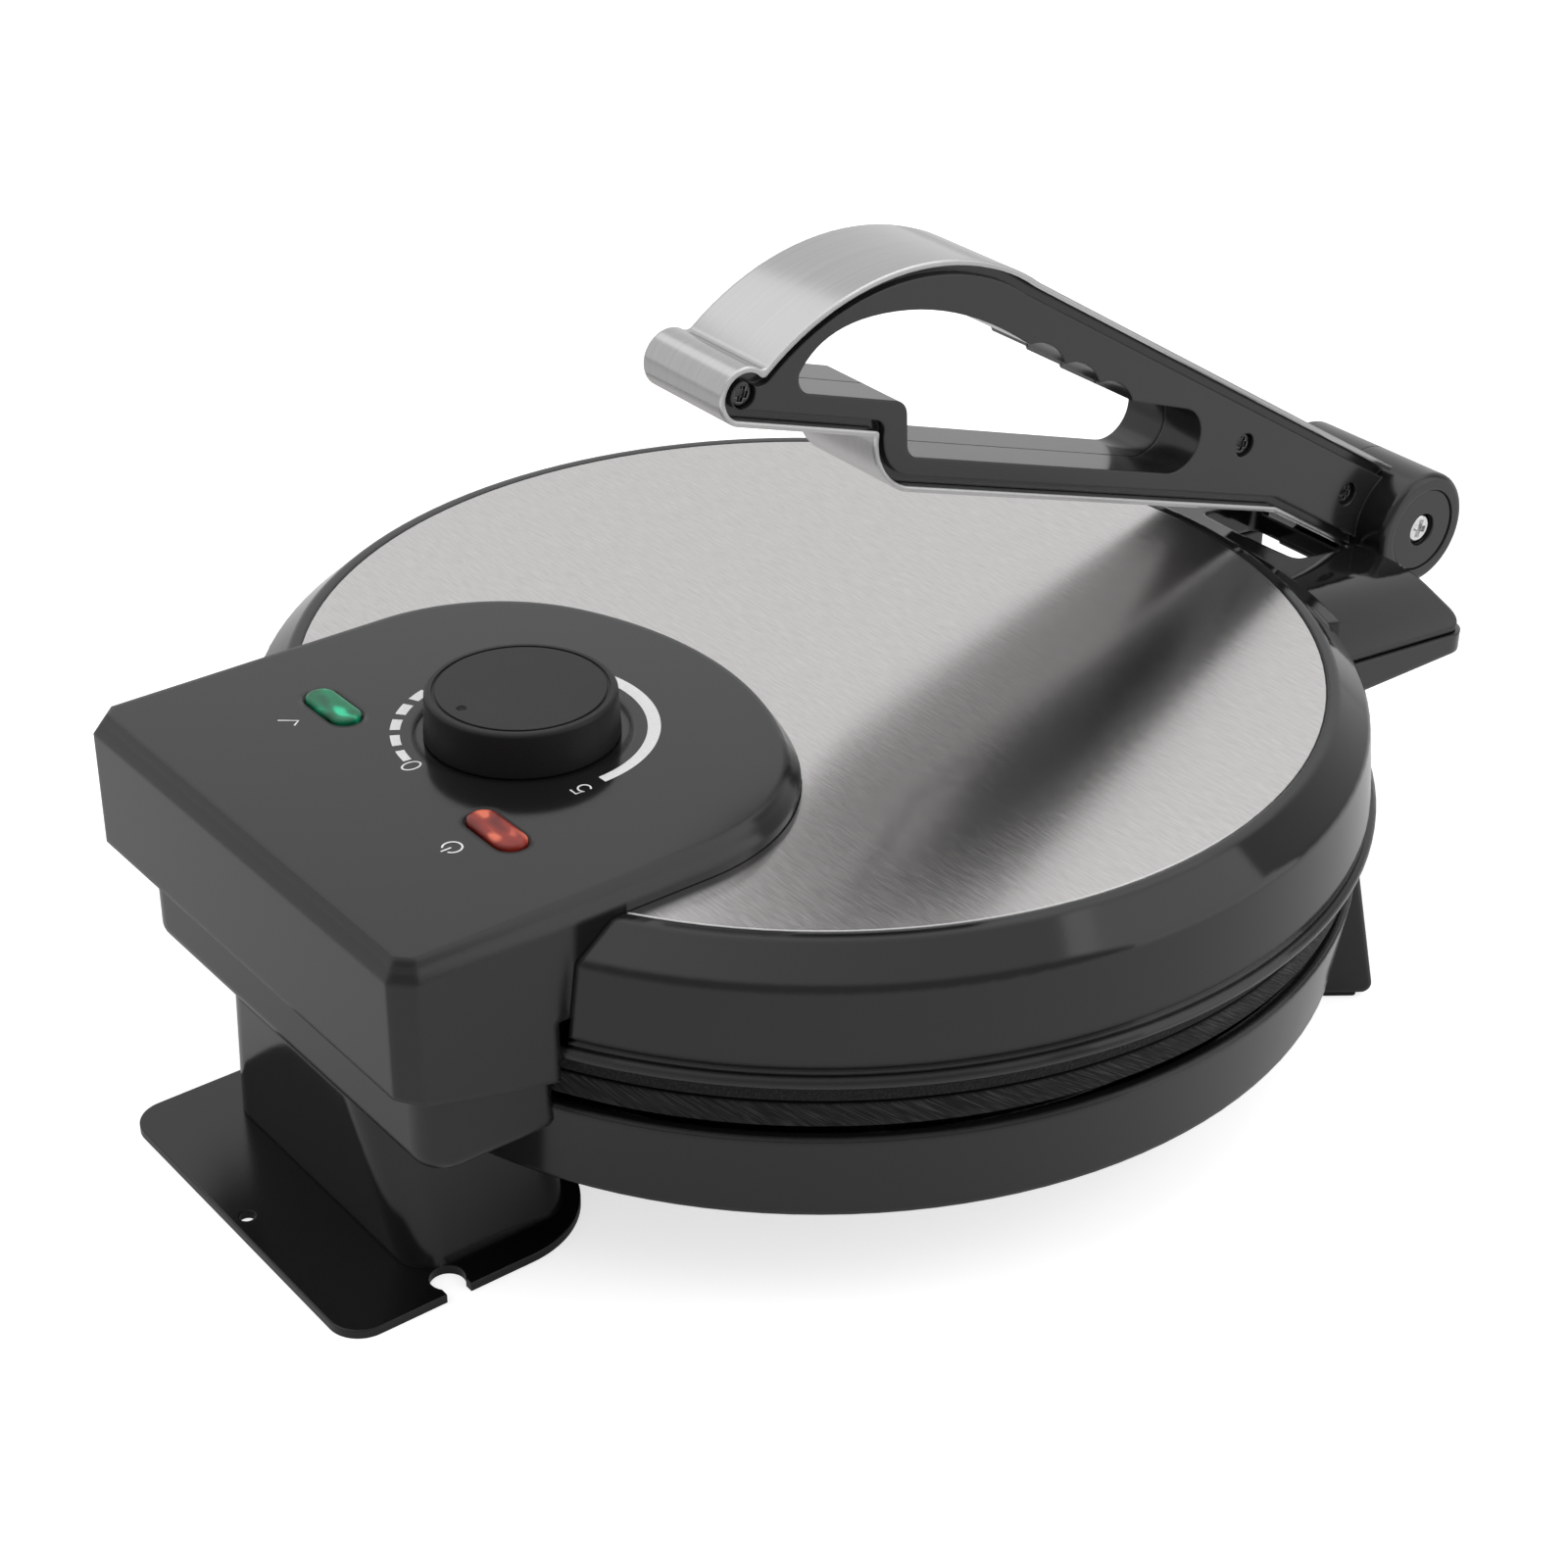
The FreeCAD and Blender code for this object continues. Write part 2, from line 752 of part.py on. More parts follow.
def lid_ring():
    inner = ring_skirt_radius - ring_wall
    groove = ring_skirt_radius - bead_groove
    ledge_bottom = ledge_top - ring_wall
    ring = turned([(cover_seat_radius - ledge_width, ledge_bottom, 0),
                   (ring_flat_radius - ring_roof_inset, ledge_bottom, 0),
                   (ring_shoulder_radius - ring_wall, ring_shoulder - ring_wall / 2, 0),
                   (inner, flange_top, 0), (inner - flange_width, flange_top, 0),
                   (inner - flange_width, flange_top - flange_thickness, 0),
                   (inner, flange_top - flange_thickness, 0), (inner, bead_bottom, 0),
                   (bead_radius, bead_bottom, -bead_groove), (bead_radius, bead_top, -bead_groove),
                   (groove, bead_top, 0), (groove, bead_top + groove_step, 0),
                   (ring_skirt_radius, bead_top + groove_step, 0),
                   (ring_skirt_radius, bead_top + 2 * groove_step, 0),
                   (groove, bead_top + 2 * groove_step, 0), (groove, ring_skirt_bottom, 0),
                   (ring_skirt_radius, ring_skirt_bottom, -bead_groove / 2),
                   (ring_shoulder_radius, ring_shoulder, ring_shoulder_round),
                   (ring_flat_radius, ring_top, -bead_groove), (cover_seat_radius, ring_top, -seat_gap),
                   (cover_seat_radius, ledge_top, 0), (cover_seat_radius - ledge_width, ledge_top, 0)])
    return ring.cut(console_block(-seat_gap, bead_bottom - past, ring_top + past))


def ring_outside():
    """Everything inside the outer skin of the lid ring."""
    return turned([(0, nose_bottom - past, 0), (bead_radius, nose_bottom - past, 0), (bead_radius,
                                                                                      bead_top, 0),
                   (ring_skirt_radius, bead_top, 0), (ring_skirt_radius, ring_skirt_bottom, 0),
                   (ring_shoulder_radius, ring_shoulder, 0), (ring_flat_radius, ring_top, 0), (0,
                                                                                               ring_top,
                                                                                               0)])


def lid_cover():
    cover = turned([(0, ledge_top, 0), (cover_radius, ledge_top, 0), (cover_radius, ring_top,
                                                                      -cover_sheet / 3),
                    (0, ring_top, 0)])
    return cover.cut(console_block(-seat_gap, ledge_top - past, ring_top + past))


def lid_frame():
    return disc(ring_skirt_radius - ring_wall - seat_gap * 2, flange_top, frame_top)


def console_cover():
    straight_top = console_top - console_chamfer_rise
    cover = console_block(0, console_bottom_side, straight_top)
    crown = Part.makeLoft([console_wire(0, straight_top), console_wire(console_chamfer_run, console_top)],
                          True, True)
    cover = cover.fuse(crown).removeSplitter()
    cover = cover.cut(console_block(console_wall, console_bottom_side - past, console_top - console_wall))
    lid_inside = bead_radius + seat_gap
    cover = cover.cut(disc(lid_inside, console_bottom_side - past, frame_top))
    skirt_front = math.sqrt(lid_inside ** 2 - console_half_width ** 2)
    below = [(skirt_front, console_bottom_side - past, 0), (skirt_front, console_bottom_side, 0),
             (console_back, console_bottom_back, 0), (console_back + past, console_bottom_back, 0),
             (console_back + past, console_bottom_side - past, 0)]
    cover = cover.cut(side_slab(below, -console_half_width - past, console_half_width + past))
    cover = cover.cut(disc(knob_radius + well_gap, console_top - well_depth, console_top + past, 0, knob_y))
    cover = cover.cut(disc(bushing_radius + seat_gap, straight_top - past, console_top, 0, knob_y))
    for side in (-1, 1):
        x = side * lamp_x
        cover = cover.cut(capsule(lamp_length + 2 * seat_gap, lamp_width + 2 * seat_gap,
                                  straight_top - past,
                                  console_top + past, x, lamp_y))
        cover = cover.cut(capsule(lamp_length + 2 * lamp_rise, lamp_width + 2 * lamp_rise,
                                  console_top - lamp_rise / 2, console_top + past, x, lamp_y))
    return cover


def console_floor():
    floor = console_block(console_wall + seat_gap, console_floor_height,
                          console_floor_height + console_floor_thickness)
    return floor.cut(disc(ring_skirt_radius - ring_wall, console_floor_height - past, frame_top + past))


def thermostat_body():
    top = console_top - console_wall
    body = slab(rectangle(-thermostat_width / 2, thermostat_width / 2, knob_y - thermostat_depth / 2,
                          knob_y + thermostat_depth / 2, shaft_radius), top - thermostat_height, top)
    body = body.fuse(disc(bushing_radius, top, console_top - well_depth + bushing_height, 0, knob_y))
    return body.cut(disc(shaft_radius + running_gap, top - thermostat_height / 2, console_top + knob_top,
                         0, knob_y))


def thermostat_nut():
    bottom = console_top - well_depth
    hexagon = [(x, y + knob_y, 0) for x, y in around(nut_radius, 6)]
    nut = slab(hexagon, bottom, bottom + nut_thickness)
    return nut.cut(disc(bushing_radius + running_gap, bottom - past, bottom + nut_thickness + past, 0,
                        knob_y))


def lamp_lens(side):
    x = side * lamp_x
    seat = console_top - console_wall
    lens = capsule(lamp_length, lamp_width, seat, console_top + lamp_rise, x, lamp_y)
    lens = soften(lens, lamp_edge, at_height(console_top + lamp_rise))
    flange = capsule(lamp_length + 2 * lamp_flange, lamp_width + 2 * lamp_flange,
                     seat - lamp_flange_thickness,
                     seat, x, lamp_y)
    return lens.fuse(flange).removeSplitter()


def lamp_holders():
    top = console_top - console_wall - lamp_flange_thickness
    holders = []
    for side in (-1, 1):
        x = side * lamp_x
        half = lamp_length / 2
        holders.append(box(x - half, x + half, lamp_y - lamp_holder_width / 2,
                           lamp_y + lamp_holder_width / 2,
                           top - lamp_holder_height, top))
    return group(holders)


# Knob and its shaft

knob_bottom = console_top - well_depth + moving_gap
knob_roof_height = knob_top - knob_roof


def control_knob():
    cavity = knob_radius - knob_wall
    stem_bottom = console_top - well_depth + bushing_height + moving_gap
    hole = shaft_radius + running_gap / 2
    outer_groove = knob_groove_radius + knob_groove_width / 2
    inner_groove = knob_groove_radius - knob_groove_width / 2
    floor = knob_top - knob_groove_depth
    knob = turned([(0, knob_roof_height, 0), (hole, knob_roof_height, 0), (hole, stem_bottom, 0),
                   (knob_stem_radius, stem_bottom, 0), (knob_stem_radius,
                                                        knob_roof_height - knob_roof_step, 0),
                   (cavity, knob_roof_height - knob_roof_step, 0), (cavity, knob_bottom, 0),
                   (knob_radius, knob_bottom, knob_edge / 3),
                   (knob_radius - knob_taper, knob_top, knob_edge), (outer_groove, knob_top, 0),
                   (outer_groove, floor, 0), (inner_groove, floor, 0), (inner_groove, knob_top, 0),
                   (0, knob_top, 0)])
    dimple = Part.makeSphere(knob_dimple_radius, V(0, knob_dimple_place, knob_top + knob_dimple_radius / 2))
    knob = knob.cut(dimple)
    knob.translate(V(0, knob_y, 0))
    return knob


def thermostat_shaft():
    bottom = console_top - console_wall - thermostat_height / 2 + moving_gap
    return disc(shaft_radius, bottom, knob_roof_height - running_gap, 0, knob_y)


# Nose of the lid

nose_plan = [(-nose_half_width, -nose_root, 0), (-nose_half_width, -nose_front, nose_corner),
             (nose_half_width, -nose_front, nose_corner), (nose_half_width, -nose_root, 0)]


def lever_slot(front, bottom, top):
    """Opening under the lever's arm, right through the nose."""
    return slab(rectangle(-slot_half_width, slot_half_width, -front, slot_back - nose_front, slot_corner),
                bottom, top)


def nose_lower():
    profile = [(-nose_root, nose_bottom, 0), (-nose_front, nose_bottom, nose_groove),
               (-nose_front, nose_split_front, nose_groove), (-nose_root, nose_split_root, 0)]
    block = side_slab(profile, -nose_half_width, nose_half_width)
    block = block.common(slab(nose_plan, nose_bottom, nose_hump_root))
    block = block.cut(ring_outside())
    block = block.cut(lever_slot(nose_front + slot_corner + past, nose_bottom - past, nose_hump_root))
    seat = nose_bottom + screw_head_height + screw_gap
    for x in (-nose_screw_x, nose_screw_x):
        block = block.cut(disc(screw_head_radius + screw_gap, nose_bottom - past, seat, x, nose_screw_y))
        block = block.cut(disc(screw_shank_radius + screw_gap, nose_bottom, nose_hump_root, x,
                               nose_screw_y))
    return block


def nose_screws():
    seat = nose_bottom + screw_head_height + screw_gap
    return group([upside_down(screw(nose_screw_length), x, nose_screw_y, seat)
                  for x in (-nose_screw_x, nose_screw_x)])


def nose_section(y, half, split, hump):
    """Cross-section of the upper half: straight foot, then one smooth curve over the hump."""
    rise = hump - split
    edge = split + nose_edge_share * rise
    slope = [(half, edge), (nose_shoulder_half_width, split + nose_shoulder_share * rise),
             (nose_hump_half_width, split + nose_hump_share * rise), (nose_hump_half_width / 2, hump)]
    curve = Part.BSplineCurve()
    curve.interpolate([V(-x, y, z) for x, z in slope] + [V(x, y, z) for x, z in reversed(slope)])
    low = [V(half, y, edge), V(half, y, split), V(-half, y, split), V(-half, y, edge)]
    return Part.Wire([curve.toShape()] + [Part.makeLine(a, b) for a, b in zip(low, low[1:])])


def nose_knuckle():
    """Drum that carries the lever's axle, with the neck that joins it to the nose."""
    half = knuckle_half_width
    reach = pivot_y + nose_front
    depth = nose_split_front + nose_groove - pivot_height
    end = -reach + knuckle_half_width / 2
    neck = [(0, 0, 0), (end, end * math.tan(math.radians(pivot_neck_top)), 0), (end, depth, 0),
            (knuckle_drum_radius * math.cos(math.radians(pivot_neck_bottom)),
             knuckle_drum_radius * math.sin(math.radians(pivot_neck_bottom)), 0)]
    knuckle = side_slab(neck, -half, half).fuse(bar(knuckle_drum_radius, -half, half))
    knuckle.translate(V(0, pivot_y, pivot_height))
    return knuckle


def nose_upper():
    half = nose_half_width - nose_inset
    lift = nose_groove
    upper = Part.makeLoft([nose_section(-nose_root, half, nose_split_root + lift, nose_hump_root),
                           nose_section(-nose_front, half, nose_split_front + lift, nose_hump_front)],
                          True, True)
    inset_plan = [(math.copysign(half, x), y + nose_inset, corner) for x, y, corner in nose_plan]
    upper = upper.common(slab(inset_plan, nose_bottom, nose_hump_root + past))
    band = turned([(ring_shoulder_radius - ring_wall, nose_split_root + lift, 0),
                   (nose_band_radius, nose_split_root + lift, 0),
                   (nose_band_radius - nose_inset, nose_band_top, nose_inset),
                   (ring_shoulder_radius - ring_wall, nose_band_top, 0)], 2 * nose_band_half_angle)
    band.rotate(V(), Z_AXIS, -90 - nose_band_half_angle)
    upper = upper.fuse(band).cut(ring_outside())
    upper = upper.cut(bar(barrel_radius + 2 * moving_gap, -nose_half_width, nose_half_width, pivot_y,
                          pivot_height))
    channel = [(0, arm_bottom_at_pivot - arm_channel_gap, 0), (arm_bend, -arm_channel_gap, 0),
               (step_place, -arm_channel_gap, 0), (step_place, tip_place, 0), (0, tip_place, 0)]
    channel_half = lever_half_width + arm_channel_gap
    upper = upper.cut(in_lever_frame(side_slab(channel, -channel_half, channel_half)))
    upper = upper.cut(lever_slot(nose_front - slot_wall, nose_bottom, nose_hump_root + past))
    for x in (-nose_screw_x, nose_screw_x):
        hole_top = nose_bottom + screw_head_height + nose_screw_length + past
        upper = upper.cut(disc(screw_shank_radius + screw_gap, nose_bottom, hole_top, x, nose_screw_y))
    upper = upper.fuse(nose_knuckle()).removeSplitter()
    return upper.cut(bar(axle_radius + running_gap, -nose_half_width, nose_half_width, pivot_y,
                         pivot_height))


# Press lever

def in_lever_frame(shape):
    shape = shape.copy()
    shape.rotate(V(), X_AXIS, lever_rest_angle)
    shape.translate(V(0, pivot_y, pivot_height))
    return shape


def tip_valley():
    """Where the rolled tip meets the crown."""
    turn = math.radians(tip_roll_angle)
    return (tip_place + tip_radius * math.cos(turn),
            step_height + tip_radius + tip_radius * math.sin(turn))


def arm_wire(x):
    """Side outline of the lever: bent underside, stepped floor, rolled tip and crowned top."""
    place = on_side(x)
    tip_height = step_height + tip_radius
    step_start = step_place - step_run
    sweep = (step_run * step_run + step_height * step_height) / (2 * step_height)
    half_turn = math.asin(step_run / sweep) / 2
    pivot_low = place(0, arm_bottom_at_pivot)
    bend = place(arm_bend, 0)
    floor_end = place(step_start, 0)
    step_top = place(step_place, step_height)
    tip_low = place(tip_place, step_height)
    tip_high = place(*tip_valley())
    pivot_high = place(0, arm_top_at_pivot)
    edges = [Part.makeLine(pivot_low, bend), Part.makeLine(bend, floor_end),
             Part.Arc(floor_end, place(step_start + sweep * math.sin(half_turn),
                                       sweep - sweep * math.cos(half_turn)), step_top).toShape(),
             Part.makeLine(step_top, tip_low),
             Part.Arc(tip_low, place(tip_place + tip_radius, tip_height), tip_high).toShape(),
             Part.Arc(tip_high, place(*crown_middle), place(*crown_peak)).toShape(),
             Part.Arc(place(*crown_peak), place(*crown_shoulder), place(*crown_end)).toShape(),
             Part.makeLine(place(*crown_end), pivot_high), Part.makeLine(pivot_high, pivot_low)]
    return Part.Wire(edges)


def arm_slab(inset, left, right):
    wire = arm_wire(left)
    if inset:
        wire = wire.makeOffset2D(-inset)
    return Part.Face(wire).extrude(V(right - left, 0, 0))


def window_wire(x):
    """Finger window: flat stepped floor, round ends, crowned roof and finger scallops."""
    place = on_side(x)
    end_centre = window_near_end + window_end_radius
    end_height = window_floor + window_end_radius
    roof = (end_centre, end_height + window_end_radius)
    far_centre = window_far_end - window_far_radius
    far_height = window_upper_floor + window_far_radius
    slope = math.sqrt(0.5) * window_far_radius
    floor_start = place(end_centre, window_floor)
    step_low = place(window_step - window_step_lean, window_floor)
    step_high = place(window_step, window_upper_floor)
    floor_end = place(far_centre, window_upper_floor)
    edges = [Part.Arc(place(*roof), place(window_near_end, end_height), floor_start).toShape(),
             Part.makeLine(floor_start, step_low), Part.makeLine(step_low, step_high),
             Part.makeLine(step_high, floor_end),
             Part.Arc(floor_end, place(far_centre + slope, far_height - slope),
                      place(window_far_end, far_height)).toShape()]
    roof_points = [(window_far_end, far_height), window_crown_start, window_crown_middle, window_crown_end,
                   window_roof_end]
    crown = Part.BSplineCurve()
    crown.interpolate([place(*point) for point in roof_points])
    edges.append(crown.toShape())
    start = V(*window_roof_end, 0)
    stride = (V(*scallop_end, 0) - start) / scallop_count
    dip = V(-stride.y, stride.x, 0).normalize() * -scallop_depth
    for i in range(scallop_count):
        a = start + stride * i
        b = a + stride
        middle = a + stride / 2 + dip
        edges.append(Part.Arc(place(a.x, a.y), place(middle.x, middle.y), place(b.x, b.y)).toShape())
    edges.append(Part.makeLine(place(*scallop_end), place(*roof)))
    return Part.Wire(edges)


def finger_window():
    """Cutting shape for one half of the window, with its step rounded."""
    window = Part.Face(window_wire(-past)).extrude(V(lever_half_width + 2 * past, 0, 0))
    steps = [V(0, window_step - window_step_lean, window_floor), V(0, window_step, window_upper_floor)]

    def at_step(edge):
        middle = edge.BoundBox.Center
        return any(V(0, middle.y, middle.z).distanceToPoint(step) < near for step in steps)

    return soften(window, window_step_round, at_step)


def lever_strap():
    half = lever_half_width
    valley = V(0, *tip_valley())

    def at_valley(edge):
        return edge.BoundBox.Center.distanceToPoint(valley) < near

    strap = soften(arm_slab(0, -half, half), tip_valley_round, at_valley)
    strap = strap.cut(arm_slab(strap_thickness, -half - past, half + past))
    return in_lever_frame(strap.cut(bar(barrel_radius + strap_end_gap, -half - past, half + past)))


def knuckle_slot():
    """Sector that the nose's neck sweeps through the barrel over the lever's swing."""
    half = knuckle_half_width + moving_gap
    reach = barrel_radius + past
    first = pivot_neck_bottom - lever_swing - lever_rest_angle - neck_slot_margin
    last = pivot_neck_top - lever_rest_angle + neck_slot_margin
    face = Part.Face(Part.makePolygon([V(-half, 0, 0), V(half, 0, 0), V(half, reach, 0), V(-half, reach, 0),
                                       V(-half, 0, 0)]))
    face.rotate(V(), X_AXIS, first)
    return face.revolve(V(), X_AXIS, last - first)


def lever_shell(side):
    """One black half of the grip: raised side face, finger window and half of the pivot barrel."""
    seam = shell_seam
    high_face = lever_half_width - shell_inset
    low_face = high_face - shell_groove_depth
    fit = strap_thickness + seat_gap / 2
    shell = arm_slab(fit, seam, low_face).fuse(arm_slab(fit + shell_groove_width, seam, high_face))
    shell = shell.cut(finger_window())
    barrel = bar(barrel_radius, seam, barrel_half_length)
    barrel = soften(barrel, barrel_edge, lambda edge: edge.BoundBox.XMin > barrel_half_length - near)
    shell = shell.fuse(barrel).removeSplitter()
    shell = shell.cut(bar(pivot_cap_radius + seat_gap, barrel_half_length - pivot_recess,
                          barrel_half_length + past))
    shell = shell.cut(bar(pivot_cap_hole, axle_half_length, barrel_half_length))
    shell = shell.cut(bar(axle_radius + running_gap / 2, 0, axle_half_length + past))
    shell = shell.cut(bar(knuckle_drum_radius + moving_gap, 0, knuckle_half_width + moving_gap))
    shell = shell.cut(knuckle_slot())
    if side < 0:
        shell = shell.mirror(V(), X_AXIS)
    for along, up in lever_screw_places:
        shell = shell.cut(bar(screw_shank_radius + screw_gap, -high_face, low_face - screw_head_height,
                              along, up))
        if side < 0:
            shell = shell.cut(bar(screw_head_radius + screw_gap, -high_face - past,
                                  -high_face + screw_head_height + shell_inset, along, up))
    return in_lever_frame(shell)


def lever_screws():
    seat = -lever_half_width + 2 * shell_inset + screw_head_height
    screws = []
    for along, up in lever_screw_places:
        one = screw(lever_half_width)
        one.rotate(V(), Y_AXIS, -90)
        one.translate(V(seat, along, up))
        screws.append(in_lever_frame(one))
    return group(screws)


def pivot_axle():
    axle = bar(axle_radius, -axle_half_length, axle_half_length)
    for side in (-1, 1):
        end = side * axle_half_length
        axle = axle.cut(bar(screw_shank_radius + running_gap, min(end, end - side * axle_hole_depth),
                            max(end, end - side * axle_hole_depth)))
    return in_lever_frame(axle)


def pivot_caps():
    caps = []
    for side in (-1, 1):
        face = side * (barrel_half_length - pivot_recess)
        outer = face + side * pivot_cap_thickness
        cap = bar(pivot_cap_radius, min(face, outer), max(face, outer))
        cap = soften(cap, pivot_cap_thickness / 3, lambda edge: abs(edge.BoundBox.Center.x - outer) < near)
        cap = cap.cut(bar(pivot_cap_hole, min(face, outer) - past, max(face, outer) + past))
        caps.append(in_lever_frame(cap))
    return group(caps)


def pivot_screws():
    screws = []
    for side in (-1, 1):
        one = screw(pivot_screw_length, pivot_head_radius, pivot_head_height)
        one.rotate(V(), Y_AXIS, 90 * side)
        one.translate(V(side * axle_half_length, 0, 0))
        screws.append(in_lever_frame(one))
    return group(screws)


pieces = {
    "base_shell": base_shell(),
    "bottom_cover": bottom_cover(),
    "bottom_cover_screws": bottom_cover_screws(),
    "lower_heating_plate": heating_plate(plate_bottom, plate_bottom + plate_thickness),
    "lower_heating_element": heating_element(plate_bottom - element_radius),
    "lower_heat_shield": lower_heat_shield(),
    "lower_plate_studs": plate_studs(base_bottom + base_floor, plate_bottom),
    "front_leg_left": front_leg(-1),
    "front_leg_right": front_leg(1),
    "leg_pads": leg_pads(),
    "rear_housing": rear_housing(),
    "support_column": support_column(),
    "foot_plate": foot_plate(),
    "foot_plate_screws": foot_plate_screws(),
    "hinge_bracket_left": hinge_bracket(-1),
    "hinge_bracket_right": hinge_bracket(1),
    "hinge_bracket_screws": bracket_screws(),
    "hinge_pin": hinge_pin(),
    "cord_gland": cord_gland(),
    "hinge_leaf": hinge_leaf(),
    "lid_ring": lid_ring(),
    "lid_cover": lid_cover(),
    "lid_frame": lid_frame(),
    "upper_heating_plate": heating_plate(upper_plate_bottom, upper_plate_top),
    "upper_heating_element": heating_element(upper_plate_top + element_radius),
    "upper_plate_studs": plate_studs(upper_plate_top, flange_top),
    "console_cover": console_cover(),
    "console_floor": console_floor(),
    "thermostat_body": thermostat_body(),
    "thermostat_nut": thermostat_nut(),
    "green_lens": lamp_lens(1),
    "red_lens": lamp_lens(-1),
    "lamp_holders": lamp_holders(),
    "nose_upper": nose_upper(),
    "nose_lower": nose_lower(),
    "nose_screws": nose_screws(),
    "lever_strap": lever_strap(),
    "lever_shell_left": lever_shell(-1),
    "lever_shell_right": lever_shell(1),
    "lever_screws": lever_screws(),
    "pivot_axle": pivot_axle(),
    "pivot_caps": pivot_caps(),
    "pivot_screws": pivot_screws(),
    "control_knob": control_knob(),
    "thermostat_shaft": thermostat_shaft(),
}

os.makedirs("parts", exist_ok=True)
for name, shape in pieces.items():
    shape.translate(V(0, -y_middle, 0))
    shape.exportStep("parts/" + name + ".step")
    print(name, "solids", len(shape.Solids), "valid", shape.isValid(), "volume", round(shape.Volume))
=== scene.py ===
# %% [markdown]
# # Electric flatbread press
# The press has a hot lower plate, a lid that swings down on it, and a long lever that squeezes the dough
# flat. Its shapes were drawn in CAD and come in as one mesh per piece, already placed. This lesson
# dresses them: it sets up a camera and a studio, mixes a material for every finish, and prints the marks
# around the dial.

# %% Load the frame
import json
import math
import bpy
from mathutils import Matrix, Vector

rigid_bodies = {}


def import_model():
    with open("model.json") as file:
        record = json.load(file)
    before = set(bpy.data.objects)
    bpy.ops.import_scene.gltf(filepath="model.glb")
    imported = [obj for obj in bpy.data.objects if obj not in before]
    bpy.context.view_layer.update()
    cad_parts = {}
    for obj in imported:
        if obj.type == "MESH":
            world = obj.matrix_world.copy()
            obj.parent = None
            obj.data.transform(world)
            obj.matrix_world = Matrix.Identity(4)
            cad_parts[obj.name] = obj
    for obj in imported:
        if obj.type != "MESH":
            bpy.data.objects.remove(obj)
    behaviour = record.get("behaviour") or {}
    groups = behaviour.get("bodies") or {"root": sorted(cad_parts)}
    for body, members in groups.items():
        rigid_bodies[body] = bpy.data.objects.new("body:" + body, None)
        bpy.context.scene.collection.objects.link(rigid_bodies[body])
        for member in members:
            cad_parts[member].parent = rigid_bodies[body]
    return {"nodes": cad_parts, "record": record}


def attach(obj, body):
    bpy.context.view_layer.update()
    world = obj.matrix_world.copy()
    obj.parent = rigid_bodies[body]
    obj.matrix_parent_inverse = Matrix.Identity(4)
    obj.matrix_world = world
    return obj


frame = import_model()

for start_up in [o for o in bpy.data.objects if o.name in ("Cube", "Light", "Camera")]:
    bpy.data.objects.remove(start_up)
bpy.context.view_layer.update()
print("CAD nodes:", len(frame["nodes"]))

# %% [markdown]
# ## Sizes taken from the pieces
# The prints have to sit on the console, round the knob and beside the lamps. Their places could be typed
# in as numbers, but then they would stay behind when a piece changes. Measuring the meshes that are
# already there keeps everything together, so one small helper returns the box of any piece.

# %% Measure the pieces
def node_box(name):
    """Lowest and highest corner of a piece, in metres."""
    piece = bpy.data.objects[name]
    corners = [piece.matrix_world @ vertex.co for vertex in piece.data.vertices]
    low = Vector(min(corner[axis] for corner in corners) for axis in range(3))
    high = Vector(max(corner[axis] for corner in corners) for axis in range(3))
    return low, high


console_low, console_high = node_box("console_cover")
knob_low, knob_high = node_box("control_knob")
lamp_low, lamp_high = node_box("green_lens")
plate_low, plate_high = node_box("lower_heating_plate")
plate_radius = plate_high.x
print("plate across:", round(2 * plate_radius, 4), "m, console top at", round(console_high.z, 4), "m")

# %% [markdown]
# ## Camera
# The photograph was taken from behind the console, to its left, looking down on the lid. A camera can be
# aimed with a Track To constraint, which is handy while trying views. Here the place and the angles are
# known, so three turns are multiplied together: tip the camera up from looking straight down, roll it a
# little, and swing it round the vertical.

# %% Camera
camera_place = Vector((-0.5576, 0.4748, 0.4882))
view_azimuth = math.radians(231.67)
view_elevation = math.radians(30.54)
view_roll = math.radians(0.63)
focal_length = 68.95
sensor_width = 36

camera_data = bpy.data.cameras.new("camera")
camera_data.sensor_width = sensor_width
camera_data.lens = focal_length
camera = bpy.data.objects.new("camera", camera_data)
swing = Matrix.Rotation(view_azimuth, 4, "Z")
tip = Matrix.Rotation(math.pi / 2 - view_elevation, 4, "X")
roll = Matrix.Rotation(view_roll, 4, "Z")
camera.matrix_world = Matrix.Translation(camera_place) @ swing @ tip @ roll
bpy.context.collection.objects.link(camera)
bpy.context.scene.camera = camera
print("camera at", [round(v, 3) for v in camera_place])

# %% [markdown]
# ## A helper for nodes
# Every finish below is a small network of nodes. Adding each node, setting its values and linking its
# inputs takes several lines in plain Python, so one function does all three. An input is given either a
# number, which is set on the socket, or another node's output, which is linked to it.

# %% Node helper
def add(tree, kind, links=(), **values):
    """A node with its values set and its inputs linked."""
    node = tree.nodes.new(kind)
    for key, value in values.items():
        setattr(node, key, value)
    for key, source in links:
        if hasattr(source, "is_linked"):
            tree.links.new(source, node.inputs[key])
        else:
            node.inputs[key].default_value = source
    return node


print("node helper ready")

# %% [markdown]
# ## Floor
# A product picture wants a floor so pale that it melts into the background, with only a soft shadow left.
# A plain white plane comes out grey wherever the light falls off. So the paint also glows a little, but
# the Light Path node lets only the camera see the glow in full: it lights nothing, and the shiny parts
# see a tenth of it.

# %% Floor
floor_size = 6.0
floor_grey = 0.68
glow_in_gloss = 0.1

